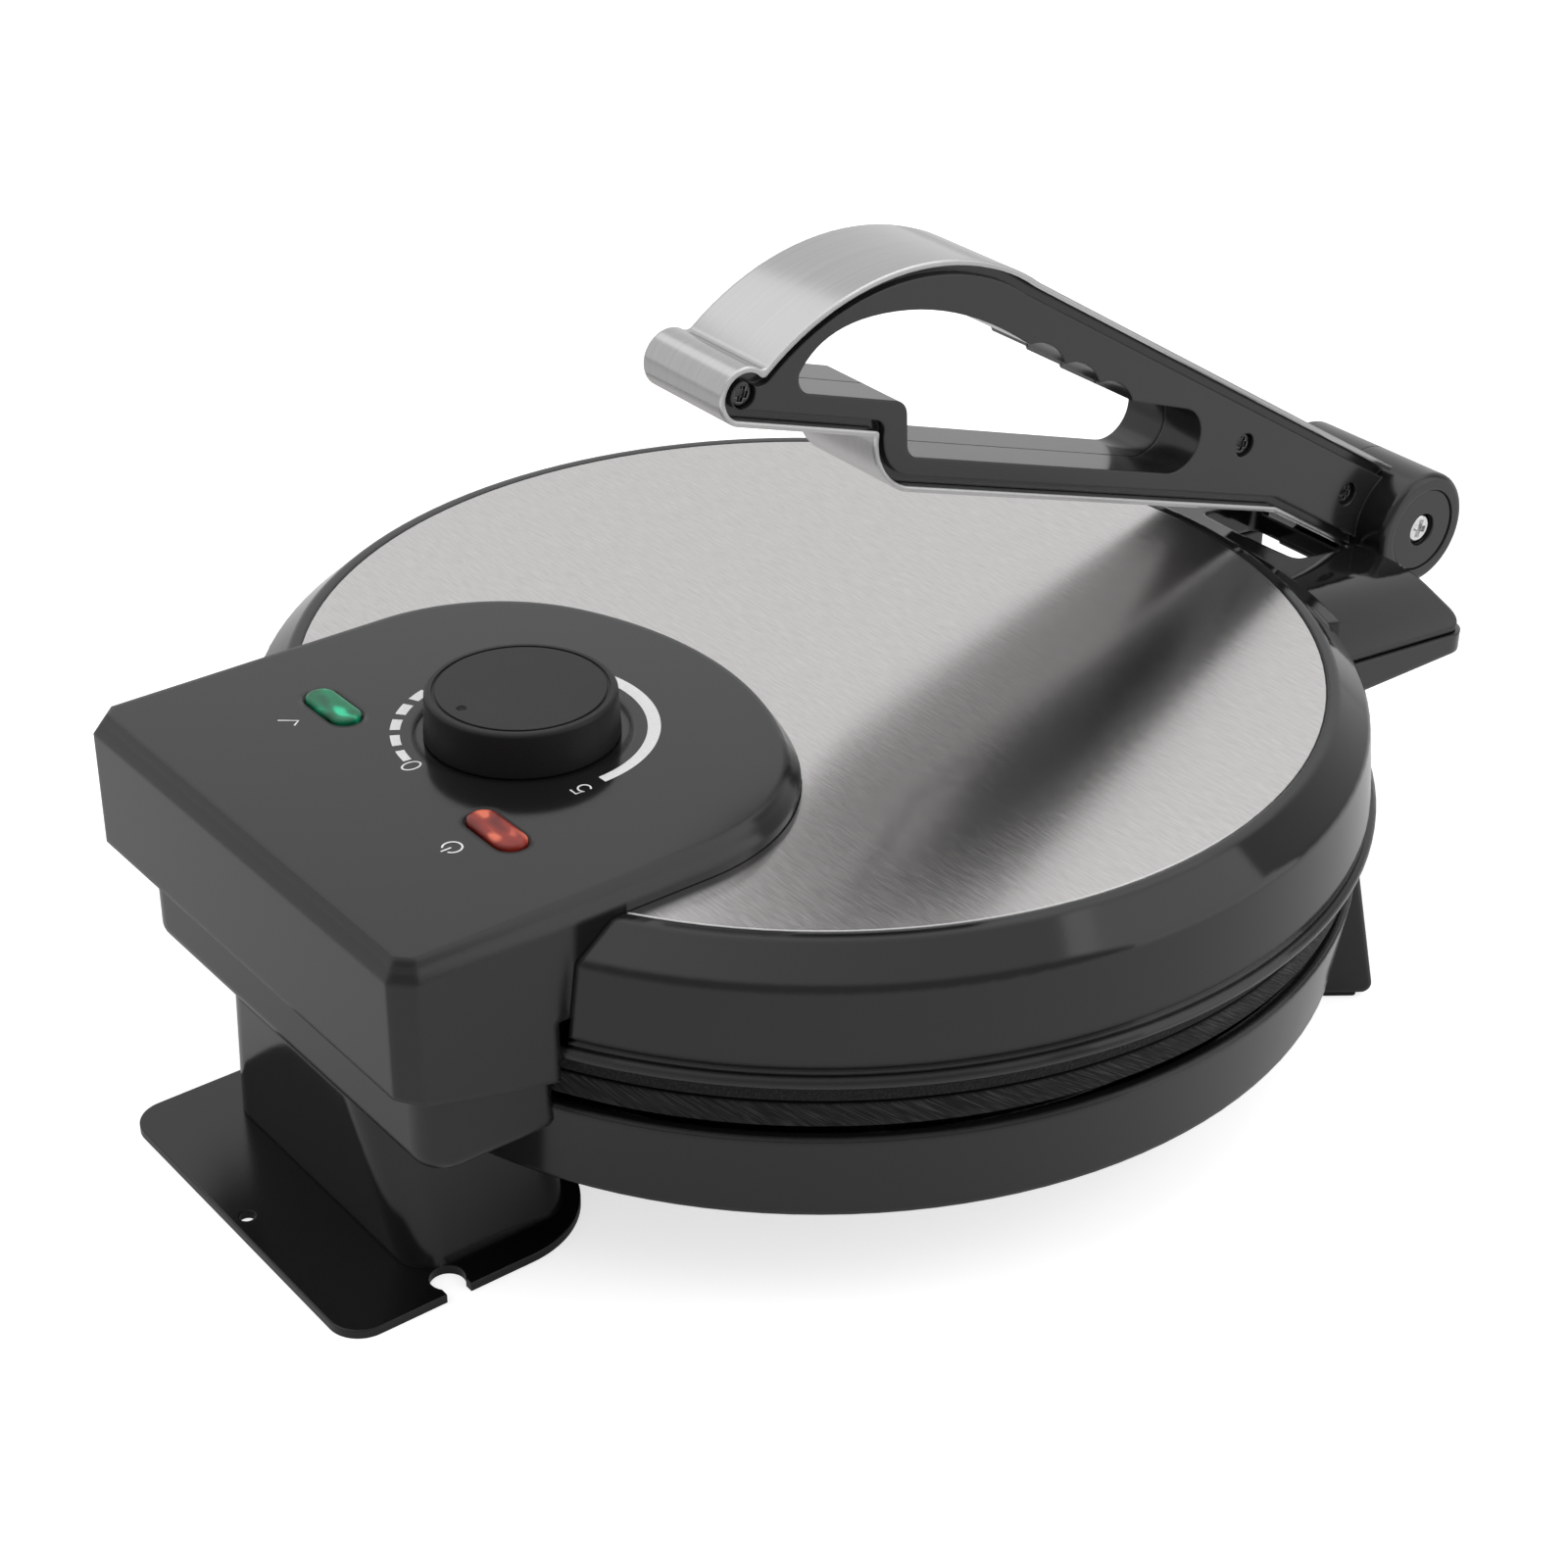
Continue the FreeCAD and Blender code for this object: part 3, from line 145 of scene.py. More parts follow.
half = floor_size / 2
floor_mesh = bpy.data.meshes.new("floor")
corners = [(-half, -half, 0), (half, -half, 0), (half, half, 0), (-half, half, 0)]
floor_mesh.from_pydata(corners, [], [(0, 1, 2, 3)])
floor = bpy.data.objects.new("floor", floor_mesh)
bpy.context.collection.objects.link(floor)

floor_paint = bpy.data.materials.new("floor_paint")
floor_paint.use_nodes = True
paint_tree = floor_paint.node_tree
floor_shader = paint_tree.nodes["Principled BSDF"]
floor_shader.inputs["Base Color"].default_value = (floor_grey, floor_grey, floor_grey, 1)
floor_shader.inputs["Roughness"].default_value = 0.9
floor_shader.inputs["Specular IOR Level"].default_value = 0.0
floor_shader.inputs["Emission Color"].default_value = (1, 1, 1, 1)
path = add(paint_tree, "ShaderNodeLightPath")
seen = add(paint_tree, "ShaderNodeMath", [(0, path.outputs["Is Glossy Ray"]), (1, glow_in_gloss),
                                          (2, path.outputs["Is Camera Ray"])], operation="MULTIPLY_ADD")
glow = add(paint_tree, "ShaderNodeMath", [(0, seen.outputs[0]), (1, floor_grey)], operation="MULTIPLY")
paint_tree.links.new(glow.outputs[0], floor_shader.inputs["Emission Strength"])
floor_mesh.materials.append(floor_paint)
print("floor:", floor_size, "m square")

# %% [markdown]
# ## Surround
# Black plastic and steel have little colour of their own, so what they reflect makes their look. An even
# white world would turn them flat. This world is bright on one side and dimmer on the other: a dot
# product measures how far a direction leans to the bright side, and Map Range turns that into a strength.
# The camera itself still sees plain white.

# %% Surround
bright_side = Vector((0.9, 0.0, 0.43)).normalized()
dim_strength = 0.36
bright_strength = 0.90

world = bpy.data.worlds.new("surround")
bpy.context.scene.world = world
world.use_nodes = True
world_tree = world.node_tree
world_tree.nodes.clear()
where = add(world_tree, "ShaderNodeTexCoord")
lean = add(world_tree, "ShaderNodeVectorMath", [(0, where.outputs["Generated"]), (1, bright_side)],
           operation="DOT_PRODUCT")
level = add(world_tree, "ShaderNodeMapRange", [("Value", lean.outputs["Value"]), ("From Min", -0.3),
            ("From Max", 0.65), ("To Min", dim_strength), ("To Max", bright_strength)],
            interpolation_type="SMOOTHSTEP")
eye = add(world_tree, "ShaderNodeLightPath")
strength = add(world_tree, "ShaderNodeMath", [(0, eye.outputs["Is Camera Ray"]), (1, level.outputs[0])],
               operation="MAXIMUM")
background = add(world_tree, "ShaderNodeBackground", [("Color", (1, 1, 1, 1)),
                                                      ("Strength", strength.outputs[0])])
add(world_tree, "ShaderNodeOutputWorld", [("Surface", background.outputs[0])])
bpy.context.scene.view_settings.view_transform = "Standard"
print("surround from", dim_strength, "to", bright_strength)

# %% [markdown]
# ## Soft boxes
# A studio lights shiny things with large panels, because a small lamp would show as a hard spot. A large
# area light does the same. One hangs overhead, one stands like a wall on the lever's side and shows as
# the bright streak on the steel lid, and one only lifts the floor beside the press, hidden from the
# reflections.

# %% Soft boxes
def soft_box(name, place, aim, width, height, watts):
    data = bpy.data.lights.new(name, "AREA")
    data.shape = "RECTANGLE"
    data.size = width
    data.size_y = height
    data.energy = watts
    lamp = bpy.data.objects.new(name, data)
    lamp.location = place
    lamp.rotation_euler = (Vector(aim) - Vector(place)).to_track_quat("-Z", "Y").to_euler()
    lamp.visible_camera = False
    bpy.context.collection.objects.link(lamp)
    return lamp


soft_box("overhead", (0.1, -0.1, 1.7), (0, 0, 0.08), 3.0, 2.6, 12)
soft_box("right_wall", (-1.14, -0.97, 0.95), (0, 0, 0.95), 1.1, 1.9, 7.0)
floor_fill = soft_box("floor_fill", (-1.3, -0.5, 0.9), (-0.4, -0.2, 0.0), 1.2, 1.2, 7)
floor_fill.visible_glossy = False
print("lights:", len(bpy.data.lights))

# %% [markdown]
# ## Shared effects
# Many finishes share the same small faults and touches: rounded edges that are worn and carry a painted
# highlight, mould grain, brush lines. Each effect could be copied into every material, but a node group is
# made once and used everywhere with its own numbers. The groups give out only values and normals. The shader
# itself stays in the material, where it is easy to find.

# %% Start a node group
def new_group(name, inputs, outputs):
    """An empty shader group. All the inputs are numbers unless a vector is given."""
    group = bpy.data.node_groups.new(name, "ShaderNodeTree")
    for label, value in inputs.items():
        kind = "NodeSocketVector" if isinstance(value, tuple) else "NodeSocketFloat"
        socket = group.interface.new_socket(label, in_out="INPUT", socket_type=kind)
        socket.default_value = value
    for label in outputs:
        kind = "NodeSocketVector" if label == "Normal" else "NodeSocketFloat"
        group.interface.new_socket(label, in_out="OUTPUT", socket_type=kind)
    return group, group.nodes.new("NodeGroupInput"), group.nodes.new("NodeGroupOutput")


def give_out(group, end, **outputs):
    """Link values to the outputs of a group."""
    for label, source in outputs.items():
        group.links.new(source, end.inputs[label])


print("groups can be started")

# %% [markdown]
# ## Rounded edges, with wear and painted light
# No real edge is razor sharp: moulded plastic has a small radius, and handling polishes it. A Bevel
# modifier would round the mesh itself, but on CAD meshes it often breaks. The Bevel shader node only
# bends the normal near an edge, which is enough for a highlight. Where the bent normal differs from the
# true one lies an edge, and that makes a mask: the finishes lighten their edges with it, partly for wear
# and partly as a painted highlight, and the lenses darken their rims with it as a painted shade.

# %% Edge wear and painted light
def edge_wear_and_painted_light():
    """Softened normal, and a mask of the edges: lightened there for wear and a painted highlight, darkened on
    the lenses as a painted shade.
    """
    group, start, end = new_group("edge_wear_and_painted_light", {"Radius": 0.0006}, ["Normal", "Edge"])
    soft = add(group, "ShaderNodeBevel", [("Radius", start.outputs["Radius"])], samples=4)
    plain = add(group, "ShaderNodeNewGeometry")
    same = add(group, "ShaderNodeVectorMath", [(0, soft.outputs[0]), (1, plain.outputs["Normal"])],
               operation="DOT_PRODUCT")
    edge = add(group, "ShaderNodeMapRange", [("Value", same.outputs["Value"]), ("From Min", 0.98),
                                             ("From Max", 0.8)])
    give_out(group, end, Normal=soft.outputs[0], Edge=edge.outputs[0])
    return group


edge_light_wear_group = edge_wear_and_painted_light()
print("made", edge_light_wear_group.name)

# %% [markdown]
# ## Mould grain
# The inside of a mould is never perfectly smooth, and its texture stays on the plastic. It could be
# sculpted, which would need millions of faces. A fine noise through a Bump node looks the same from a
# step away. A second, broad noise lets the gloss and the shade drift over the surface, so large faces
# don't look painted on.

# %% Mould grain
def moulded_grain():
    """Fine mould texture for plastic: a bump, a roughness spread, a random drift of tone and the edge mask for
    wear and a painted highlight.
    """
    group, start, end = new_group("moulded_grain", {"Grain": 1800.0, "Depth": 0.08, "Low": 0.35, "High": 0.45,
                                  "Radius": 0.0006}, ["Roughness", "Normal", "Mask", "Edge"])
    where = add(group, "ShaderNodeTexCoord")
    edge_wear_and_painted_light_node = add(group, "ShaderNodeGroup", [("Radius", start.outputs["Radius"])], node_tree=edge_light_wear_group)
    fine = add(group, "ShaderNodeTexNoise", [("Vector", where.outputs["Object"]),
               ("Scale", start.outputs["Grain"]), ("Detail", 3.0), ("Roughness", 0.6)])
    broad = add(group, "ShaderNodeTexNoise", [("Vector", where.outputs["Object"]), ("Scale", 14.0),
                                              ("Detail", 5.0)])
    rough = add(group, "ShaderNodeMapRange", [("Value", broad.outputs["Fac"]), ("From Min", 0.3),
                ("From Max", 0.7), ("To Min", start.outputs["Low"]), ("To Max", start.outputs["High"])])
    bump = add(group, "ShaderNodeBump", [("Height", fine.outputs["Fac"]), ("Distance", 0.0004),
               ("Strength", start.outputs["Depth"]), ("Normal", edge_wear_and_painted_light_node.outputs["Normal"])])
    give_out(group, end, Roughness=rough.outputs[0], Normal=bump.outputs[0], Mask=broad.outputs["Fac"],
             Edge=edge_wear_and_painted_light_node.outputs["Edge"])
    return group


grain_group = moulded_grain()
print("made", grain_group.name)

# %% [markdown]
# ## Brush lines
# Brushed steel is drawn under an abrasive belt, which leaves long fine scratches in one direction. An
# image texture would show its pixels close up. Here a noise is stretched by the mapping that each metal
# gives it: slow along the strokes and quick across them. The same noise drives the bump, the roughness
# and the tint, so they agree.

# %% Brush lines
def brush_lines():
    """Long fine scratches for metal: a bump, a tint, a roughness spread and the edges."""
    group, start, end = new_group("brush_lines", {"Vector": (0, 0, 0), "Depth": 0.1, "Low": 0.2, "High": 0.35,
                                  "Radius": 0.0004}, ["Roughness", "Normal", "Tint", "Edge"])
    edge_wear_and_painted_light_node = add(group, "ShaderNodeGroup", [("Radius", start.outputs["Radius"])], node_tree=edge_light_wear_group)
    fine = add(group, "ShaderNodeTexNoise", [("Vector", start.outputs["Vector"]), ("Scale", 1.0),
                                             ("Detail", 6.0), ("Roughness", 0.7)])
    spread = add(group, "ShaderNodeMapRange", [("Value", fine.outputs["Fac"]), ("From Min", 0.3),
                                               ("From Max", 0.7)])
    rough = add(group, "ShaderNodeMapRange", [("Value", spread.outputs[0]), ("To Min", start.outputs["Low"]),
                                              ("To Max", start.outputs["High"])])
    bump = add(group, "ShaderNodeBump", [("Height", fine.outputs["Fac"]), ("Distance", 0.0003),
               ("Strength", start.outputs["Depth"]), ("Normal", edge_wear_and_painted_light_node.outputs["Normal"])])
    give_out(group, end, Roughness=rough.outputs[0], Normal=bump.outputs[0], Tint=spread.outputs[0],
             Edge=edge_wear_and_painted_light_node.outputs["Edge"])
    return group


brush_group = brush_lines()
print("node groups:", len(bpy.data.node_groups))

# %% [markdown]
# ## What the materials share
# Each material begins with a Principled shader. Its colour is never one flat value on a real part, so it
# drifts between two close shades under a mask, and at the edges it turns towards a lighter colour, partly
# for wear and partly as a painted highlight. These steps are the same for plastic and metal, so they are
# written once.

# %% Material helpers
def material(name):
    made = bpy.data.materials.new(name)
    made.use_nodes = True
    return made, made.node_tree, made.node_tree.nodes["Principled BSDF"]


def grey(value):
    return (value, value, value)


def shade(tree, mask, dark, light):
    """Colour that drifts between two shades with a mask. A shade is a colour or a socket."""
    mix = add(tree, "ShaderNodeMix", [("Factor", mask)], data_type="RGBA")
    for key, value in (("A", dark), ("B", light)):
        if hasattr(value, "is_linked"):
            tree.links.new(value, mix.inputs[key])
        else:
            mix.inputs[key].default_value = (*value, 1)
    return mix.outputs["Result"]


def finish_shader(tree, shader, effect, colour, rubbed_and_highlight_colour, share):
    """Link an effect's outputs to the shader, with the edges turned towards a lighter colour for wear and a
    painted highlight.
    """
    # The edge mask mixes in the lighter colour: wear together with a painted highlight.
    edge_wear_and_painted_light_node = add(tree, "ShaderNodeMath", [(0, effect.outputs["Edge"]), (1, share)], operation="MULTIPLY")
    tree.links.new(shade(tree, edge_wear_and_painted_light_node.outputs[0], colour, rubbed_and_highlight_colour), shader.inputs["Base Color"])
    tree.links.new(effect.outputs["Roughness"], shader.inputs["Roughness"])
    tree.links.new(effect.outputs["Normal"], shader.inputs["Normal"])


looks = {}
print("material helpers ready")

# %% [markdown]
# ## Plastics
# Nearly all of the press is black, yet no two blacks are alike: the lid's ring and nose are glossy, the
# console and base are satin, the lever's grip is a little rougher, the knob is matt, and the feet are
# rubber. The steel foot plate is painted, and paint behaves like plastic. One function makes them all, so
# the differences stand side by side as numbers.

# %% Plastics
# The edges of the plastics turn lighter by these amounts: partly wear, partly a painted highlight.
edge_wear_and_highlight_times = 2.5
edge_wear_and_highlight_share = 0.6


def plastic(name, shades, grain, depth, roughness, radius=0.0008, gloss=0.5):
    """Moulded plastic. Shades and roughness are each a low and a high value, radius is that of its edges."""
    made, tree, shader = material(name)
    dark, light = shades
    low, high = roughness
    effect = add(tree, "ShaderNodeGroup", [("Grain", grain), ("Depth", depth), ("Low", low), ("High", high),
                                           ("Radius", radius)], node_tree=grain_group)
    colour = shade(tree, effect.outputs["Mask"], dark, light)
    finish_shader(tree, shader, effect, colour, [edge_wear_and_highlight_times * value for value in light], edge_wear_and_highlight_share)
    shader.inputs["Specular IOR Level"].default_value = gloss
    looks[name] = made


plastic("gloss_black", (grey(0.008), grey(0.010)), 1400, 0.008, (0.05, 0.09), 0.0016)
plastic("satin_black", (grey(0.008), grey(0.010)), 1800, 0.012, (0.10, 0.16), 0.0022)
plastic("grip_black", (grey(0.015), grey(0.020)), 1800, 0.02, (0.14, 0.22))
plastic("knob_black", (grey(0.008), grey(0.011)), 3000, 0.16, (0.42, 0.5), 0.0004, 0.3)
plastic("black_rubber", (grey(0.016), grey(0.022)), 2200, 0.2, (0.65, 0.8), 0.0005, 0.3)
plastic("inner_plastic", ((0.50, 0.47, 0.40), (0.56, 0.53, 0.46)), 1500, 0.1, (0.4, 0.5), 0.0003)
plastic("painted_steel", (grey(0.003), grey(0.005)), 700, 0.03, (0.16, 0.26), 0.0005)
print("plastics:", list(looks))

# %% [markdown]
# ## Metals
# The lid is brushed steel: the strokes run across the press, and each stroke smears the highlight
# sideways, which makes the long bright and dark bands. Rendering every scratch would be slow and noisy.
# The shader's Anisotropic setting gives the smear, along a tangent that is turned with the lid. The
# lever's strap is polished, and its edges are painted brighter as a highlight; the screws and inner sheet
# metal have short marks in all directions.

# %% Metals
# Metal edges turn towards this pale grey: partly wear, partly a painted highlight.
edge_wear_and_highlight_metal = grey(0.9)
smear = 0.9


def metal(name, shades, stretch, depth, roughness, across=None, radius=0.0004, shine=0.5):
    """Brushed metal. Stretch is how fine the lines are along X, Y and Z, across is where the gloss spreads."""
    made, tree, shader = material(name)
    dark, light = shades
    low, high = roughness
    where = add(tree, "ShaderNodeTexCoord")
    lines = add(tree, "ShaderNodeMapping", [("Vector", where.outputs["Object"]), ("Scale", stretch)])
    effect = add(tree, "ShaderNodeGroup", [("Vector", lines.outputs[0]), ("Depth", depth), ("Low", low),
                                           ("High", high), ("Radius", radius)], node_tree=brush_group)
    colour = shade(tree, effect.outputs["Tint"], dark, light)
    finish_shader(tree, shader, effect, colour, edge_wear_and_highlight_metal, shine)
    shader.inputs["Metallic"].default_value = 1.0
    if across:
        spread = add(tree, "ShaderNodeVectorTransform", [("Vector", across)], vector_type="VECTOR",
                     convert_from="OBJECT", convert_to="WORLD")
        tree.links.new(spread.outputs[0], shader.inputs["Tangent"])
        shader.inputs["Anisotropic"].default_value = smear
    looks[name] = made


metal("lid_steel", ((0.53, 0.52, 0.515), (0.65, 0.64, 0.635)), (140, 1500, 140), 0.02, (0.21, 0.26),
      across=(0, 1, 0))
# The strap's edges take the pale grey in full and wider: a painted highlight along its rolled edges.
metal("strap_metal", (grey(0.43), grey(0.47)), (900, 12, 12), 0.004, (0.12, 0.18), radius=0.001, shine=1.0)
metal("sheet_steel", (grey(0.42), grey(0.52)), (400, 400, 400), 0.06, (0.28, 0.42))
metal("bright_screw", (grey(0.72), grey(0.86)), (900, 900, 900), 0.05, (0.12, 0.2))
metal("dark_screw", (grey(0.05), grey(0.09)), (900, 900, 900), 0.05, (0.28, 0.4))
print("looks so far:", len(looks))

# %% [markdown]
# ## Non-stick plates
# The two plates are cast aluminium with a black coating that holds pale flecks. Their rims show in the
# gap: the upper one is as cast, the lower one carries slanting marks from turning. Flecks could be
# scattered as small meshes, but a Voronoi texture has a dot in every cell and keeps only some of them.
# The marks need a direction round the plate, so the angle is worked out from X and Y before it feeds the
# noise.

# %% Flecks and rim marks
fleck_scale = 900.0
fleck_share = 0.28
mark_scale = 1600.0


def value(tree, kind, a, b=0.0):
    return add(tree, "ShaderNodeMath", [(0, a), (1, b)], operation=kind).outputs[0]


def flecks(tree, where):
    """A mask of small dots, in some of the cells of a Voronoi texture."""
    cells = add(tree, "ShaderNodeTexVoronoi", [("Vector", where.outputs["Object"]), ("Scale", fleck_scale)])
    dot = add(tree, "ShaderNodeMapRange", [("Value", cells.outputs["Distance"]), ("From Min", 0.08),
                                           ("From Max", 0.16), ("To Min", 1.0), ("To Max", 0.0)])
    kept = value(tree, "GREATER_THAN", cells.outputs["Color"], 1.0 - fleck_share)
    return value(tree, "MULTIPLY", dot.outputs[0], kept)


def rim_marks(tree, where, shear, along):
    """Noise drawn out round the rim. It leans by shear, and each mark is along times longer than wide."""
    place = add(tree, "ShaderNodeSeparateXYZ", [("Vector", where.outputs["Object"])])
    angle = value(tree, "ARCTAN2", place.outputs["X"], place.outputs["Y"])
    round_way = value(tree, "MULTIPLY", angle, plate_radius)
    across = value(tree, "ADD", round_way, value(tree, "MULTIPLY", place.outputs["Z"], shear))
    lines = add(tree, "ShaderNodeCombineXYZ", [("X", value(tree, "MULTIPLY", across, mark_scale)),
                ("Y", value(tree, "MULTIPLY", place.outputs["Z"], mark_scale / along))])
    marks = add(tree, "ShaderNodeTexNoise", [("Vector", lines.outputs[0]), ("Scale", 1.0), ("Detail", 4.0)])
    return marks.outputs["Fac"]


print("fleck and mark helpers ready")

# %% Non-stick coating
fleck_grey = 0.06
coating_gloss = 0.2
rim_slope = 0.6


def nonstick(name, shear, along, bump_depth, ground, stroke):
    """Black coating of shade ground with pale flecks, and tool marks of shade stroke on the rim."""
    made, tree, shader = material(name)
    where = add(tree, "ShaderNodeTexCoord")
    facing = add(tree, "ShaderNodeSeparateXYZ", [("Vector", where.outputs["Normal"])])
    rim = value(tree, "LESS_THAN", value(tree, "ABSOLUTE", facing.outputs["Z"]), rim_slope)
    marks = rim_marks(tree, where, shear, along)
    scratch = add(tree, "ShaderNodeMapRange", [("Value", marks), ("From Min", 0.45), ("From Max", 0.75)])
    coat = shade(tree, flecks(tree, where), grey(ground), grey(fleck_grey))
    scratched = shade(tree, value(tree, "MULTIPLY", scratch.outputs[0], rim), coat, grey(stroke))
    tree.links.new(scratched, shader.inputs["Base Color"])
    bump = add(tree, "ShaderNodeBump", [("Height", value(tree, "MULTIPLY", marks, rim)),
                                        ("Strength", bump_depth), ("Distance", 0.0006)])
    tree.links.new(bump.outputs[0], shader.inputs["Normal"])
    rough = add(tree, "ShaderNodeMapRange", [("Value", marks), ("To Min", 0.5), ("To Max", 0.7)])
    tree.links.new(rough.outputs[0], shader.inputs["Roughness"])
    shader.inputs["Specular IOR Level"].default_value = coating_gloss
    return made


looks["nonstick"] = nonstick("nonstick_cast", 0.3, 1.5, 0.8, 0.006, 0.03)
looks["turned"] = nonstick("nonstick_turned", -1.4, 9.0, 0.9, 0.005, 0.06)
print("coatings:", looks["nonstick"].name, looks["turned"].name)

# %% [markdown]
# ## Lamp lenses
# Each lamp is a clear tinted cap over a small reflector. A truly transparent cap would need the reflector
# and the glow lamp modelled under it, and would stay noisy. The lamps are off, so the colour carries a
# painted shade at the rim and a few soft painted glints inside, which stand in for the reflector's
# highlights. A smooth stretched noise gives the glints.

# %% Lamp lenses
lens_roughness = 0.06
lens_bend = 1.40


def lens(name, deep_tone_and_painted_rim_shade, body, painted_glint):
    """Tinted plastic with a painted shade at the rim and a few soft painted glints inside."""
    made, tree, shader = material(name)
    where = add(tree, "ShaderNodeTexCoord")
    flow = add(tree, "ShaderNodeMapping", [("Vector", where.outputs["Object"]), ("Scale", (1.0, 1.9, 1.0)),
                                           ("Rotation", (0, 0, 0.35))])
    drift = add(tree, "ShaderNodeTexNoise", [("Vector", flow.outputs[0]), ("Scale", 150.0), ("Detail", 0.0),
                                             ("Distortion", 0.3)])
    inner = add(tree, "ShaderNodeMapRange", [("Value", drift.outputs["Fac"]), ("From Min", 0.2),
                                             ("From Max", 0.55)])
    # Painted highlight: the brightest patches of the noise become bright glints.
    bright = add(tree, "ShaderNodeMapRange", [("Value", drift.outputs["Fac"]), ("From Min", 0.58),
                                              ("From Max", 0.74)])
    colour = shade(tree, inner.outputs[0], deep_tone_and_painted_rim_shade, body)
    colour = shade(tree, bright.outputs[0], colour, painted_glint)
    # Painted shade: the colour darkens towards the rim.
    edge_wear_and_painted_light_node = add(tree, "ShaderNodeGroup", [("Radius", 0.0012)], node_tree=edge_light_wear_group)
    tree.links.new(shade(tree, edge_wear_and_painted_light_node.outputs["Edge"], colour, deep_tone_and_painted_rim_shade), shader.inputs["Base Color"])
    tree.links.new(edge_wear_and_painted_light_node.outputs["Normal"], shader.inputs["Normal"])
    shader.inputs["Roughness"].default_value = lens_roughness
    shader.inputs["IOR"].default_value = lens_bend
    looks[name] = made


lens("green_lens", (0.0, 0.05, 0.02), (0.0, 0.19, 0.085), (0.02, 0.62, 0.32))
lens("red_lens", (0.10, 0.005, 0.004), (0.27, 0.022, 0.012), (0.72, 0.15, 0.08))
print("looks in all:", len(looks))

# %% [markdown]
# ## Every piece gets its finish
# The record names a material slot for each piece, so the looks need no list of their own: a loop reads
# the slot and hangs the look of that name on the mesh. Only the lower plate differs, because its rim is
# turned.

# %% Give every CAD node its material
own_look = {"lower_heating_plate": "turned"}
slots = {part["node"]: part["material_slot"] for part in frame["record"]["subparts"]}
for node, slot in slots.items():
    mesh = bpy.data.objects[node].data
    mesh.materials.clear()
    mesh.materials.append(looks[own_look.get(node, slot)])
print("nodes with materials:", len(slots))

# %% [markdown]
# ## Ink
# The marks on the console are pad-printed: a soft pad dabs a thin coat of white ink on the plastic. The
# ink isn't quite even, so a fine noise moves its shade and its gloss a little.

# %% Ink
def print_white():
    """White ink with a little wear."""
    made, tree, shader = material("print_white")
    where = add(tree, "ShaderNodeTexCoord")
    wear = add(tree, "ShaderNodeTexNoise", [("Vector", where.outputs["Object"]), ("Scale", 900.0),
                                            ("Detail", 4.0)])
    tree.links.new(shade(tree, wear.outputs["Fac"], grey(0.70), grey(0.88)), shader.inputs["Base Color"])
    rough = add(tree, "ShaderNodeMapRange", [("Value", wear.outputs["Fac"]), ("To Min", 0.3),
                                             ("To Max", 0.5)])
    tree.links.new(rough.outputs[0], shader.inputs["Roughness"])
    return made


ink = print_white()
print("made", ink.name)

# %% [markdown]
# ## How the print is made
# A print could be painted in the console's material, but thin lines then need a mask for every figure.
# Flat meshes a hair above the surface stay crisp at any distance. Geometry Nodes make them from a few
# numbers. Both groups begin and end alike, so that part comes first: real geometry with the ink set on
# it.

# %% Start and end of a print group
def geo_group(name, inputs):
    """A geometry group with some numbers and the ink as inputs."""
    group = bpy.data.node_groups.new(name, "GeometryNodeTree")
    group.interface.new_socket("Geometry", in_out="INPUT", socket_type="NodeSocketGeometry")
    for label, number in inputs.items():
        kind = "NodeSocketInt" if isinstance(number, int) else "NodeSocketFloat"
        socket = group.interface.new_socket(label, in_out="INPUT", socket_type=kind)
        socket.default_value = number
    group.interface.new_socket("Material", in_out="INPUT", socket_type="NodeSocketMaterial")
    group.interface.new_socket("Geometry", in_out="OUTPUT", socket_type="NodeSocketGeometry")
    return group, group.nodes.new("NodeGroupInput"), group.nodes.new("NodeGroupOutput")


def close_group(group, start, end, shape):
    """Realize Instances, Set Material, then out."""
    real = add(group, "GeometryNodeRealizeInstances", [("Geometry", shape)])
    paint = add(group, "GeometryNodeSetMaterial", [("Geometry", real.outputs[0]),
                                                   ("Material", start.outputs["Material"])])
    group.links.new(paint.outputs[0], end.inputs[0])
    return group


print("print groups can be started")

# %% [markdown]
# ## Lines of even width
# The figures 0 and 5, the tick and the power sign are single strokes of a pen. A text object would bring
# in a font, and a bevelled curve would be round. Here a drawing of points and edges becomes curves, and a
# short straight profile is swept along them. With normals set to Z Up, the band lies flat.

# %% Ribbon group
def ribbon_group():
    """A flat band of even width along every line of a drawing."""
    group, start, end = geo_group("ribbon", {"Width": 0.001})
    lines = add(group, "GeometryNodeMeshToCurve", [("Mesh", start.outputs["Geometry"])])
    level = add(group, "GeometryNodeSetCurveNormal", [("Curve", lines.outputs[0])], mode="Z_UP")
    right = value(group, "MULTIPLY", start.outputs["Width"], 0.5)
    left = value(group, "MULTIPLY", right, -1.0)
    ends = [add(group, "ShaderNodeCombineXYZ", [("X", side)]).outputs[0] for side in (left, right)]
    band = add(group, "GeometryNodeCurvePrimitiveLine", [("Start", ends[0]), ("End", ends[1])])
    swept = add(group, "GeometryNodeCurveToMesh", [("Curve", level.outputs[0]),
                                                   ("Profile Curve", band.outputs[0])])
    return close_group(group, start, end, swept.outputs[0])


ribbon = ribbon_group()
print("made", ribbon.name)

# %% [markdown]
# ## The dial's scale
# Round the knob runs a scale that shows the heat: dashes that grow wider, then an unbroken arc. Dashes
# could be placed one by one with instances, but then they wouldn't bend with the ring. Instead a long
# grid is cut into dashes and wrapped: its length becomes the bearing and its width the distance from the
# middle.

# %% Scale group
faces_per_dash = 12.0


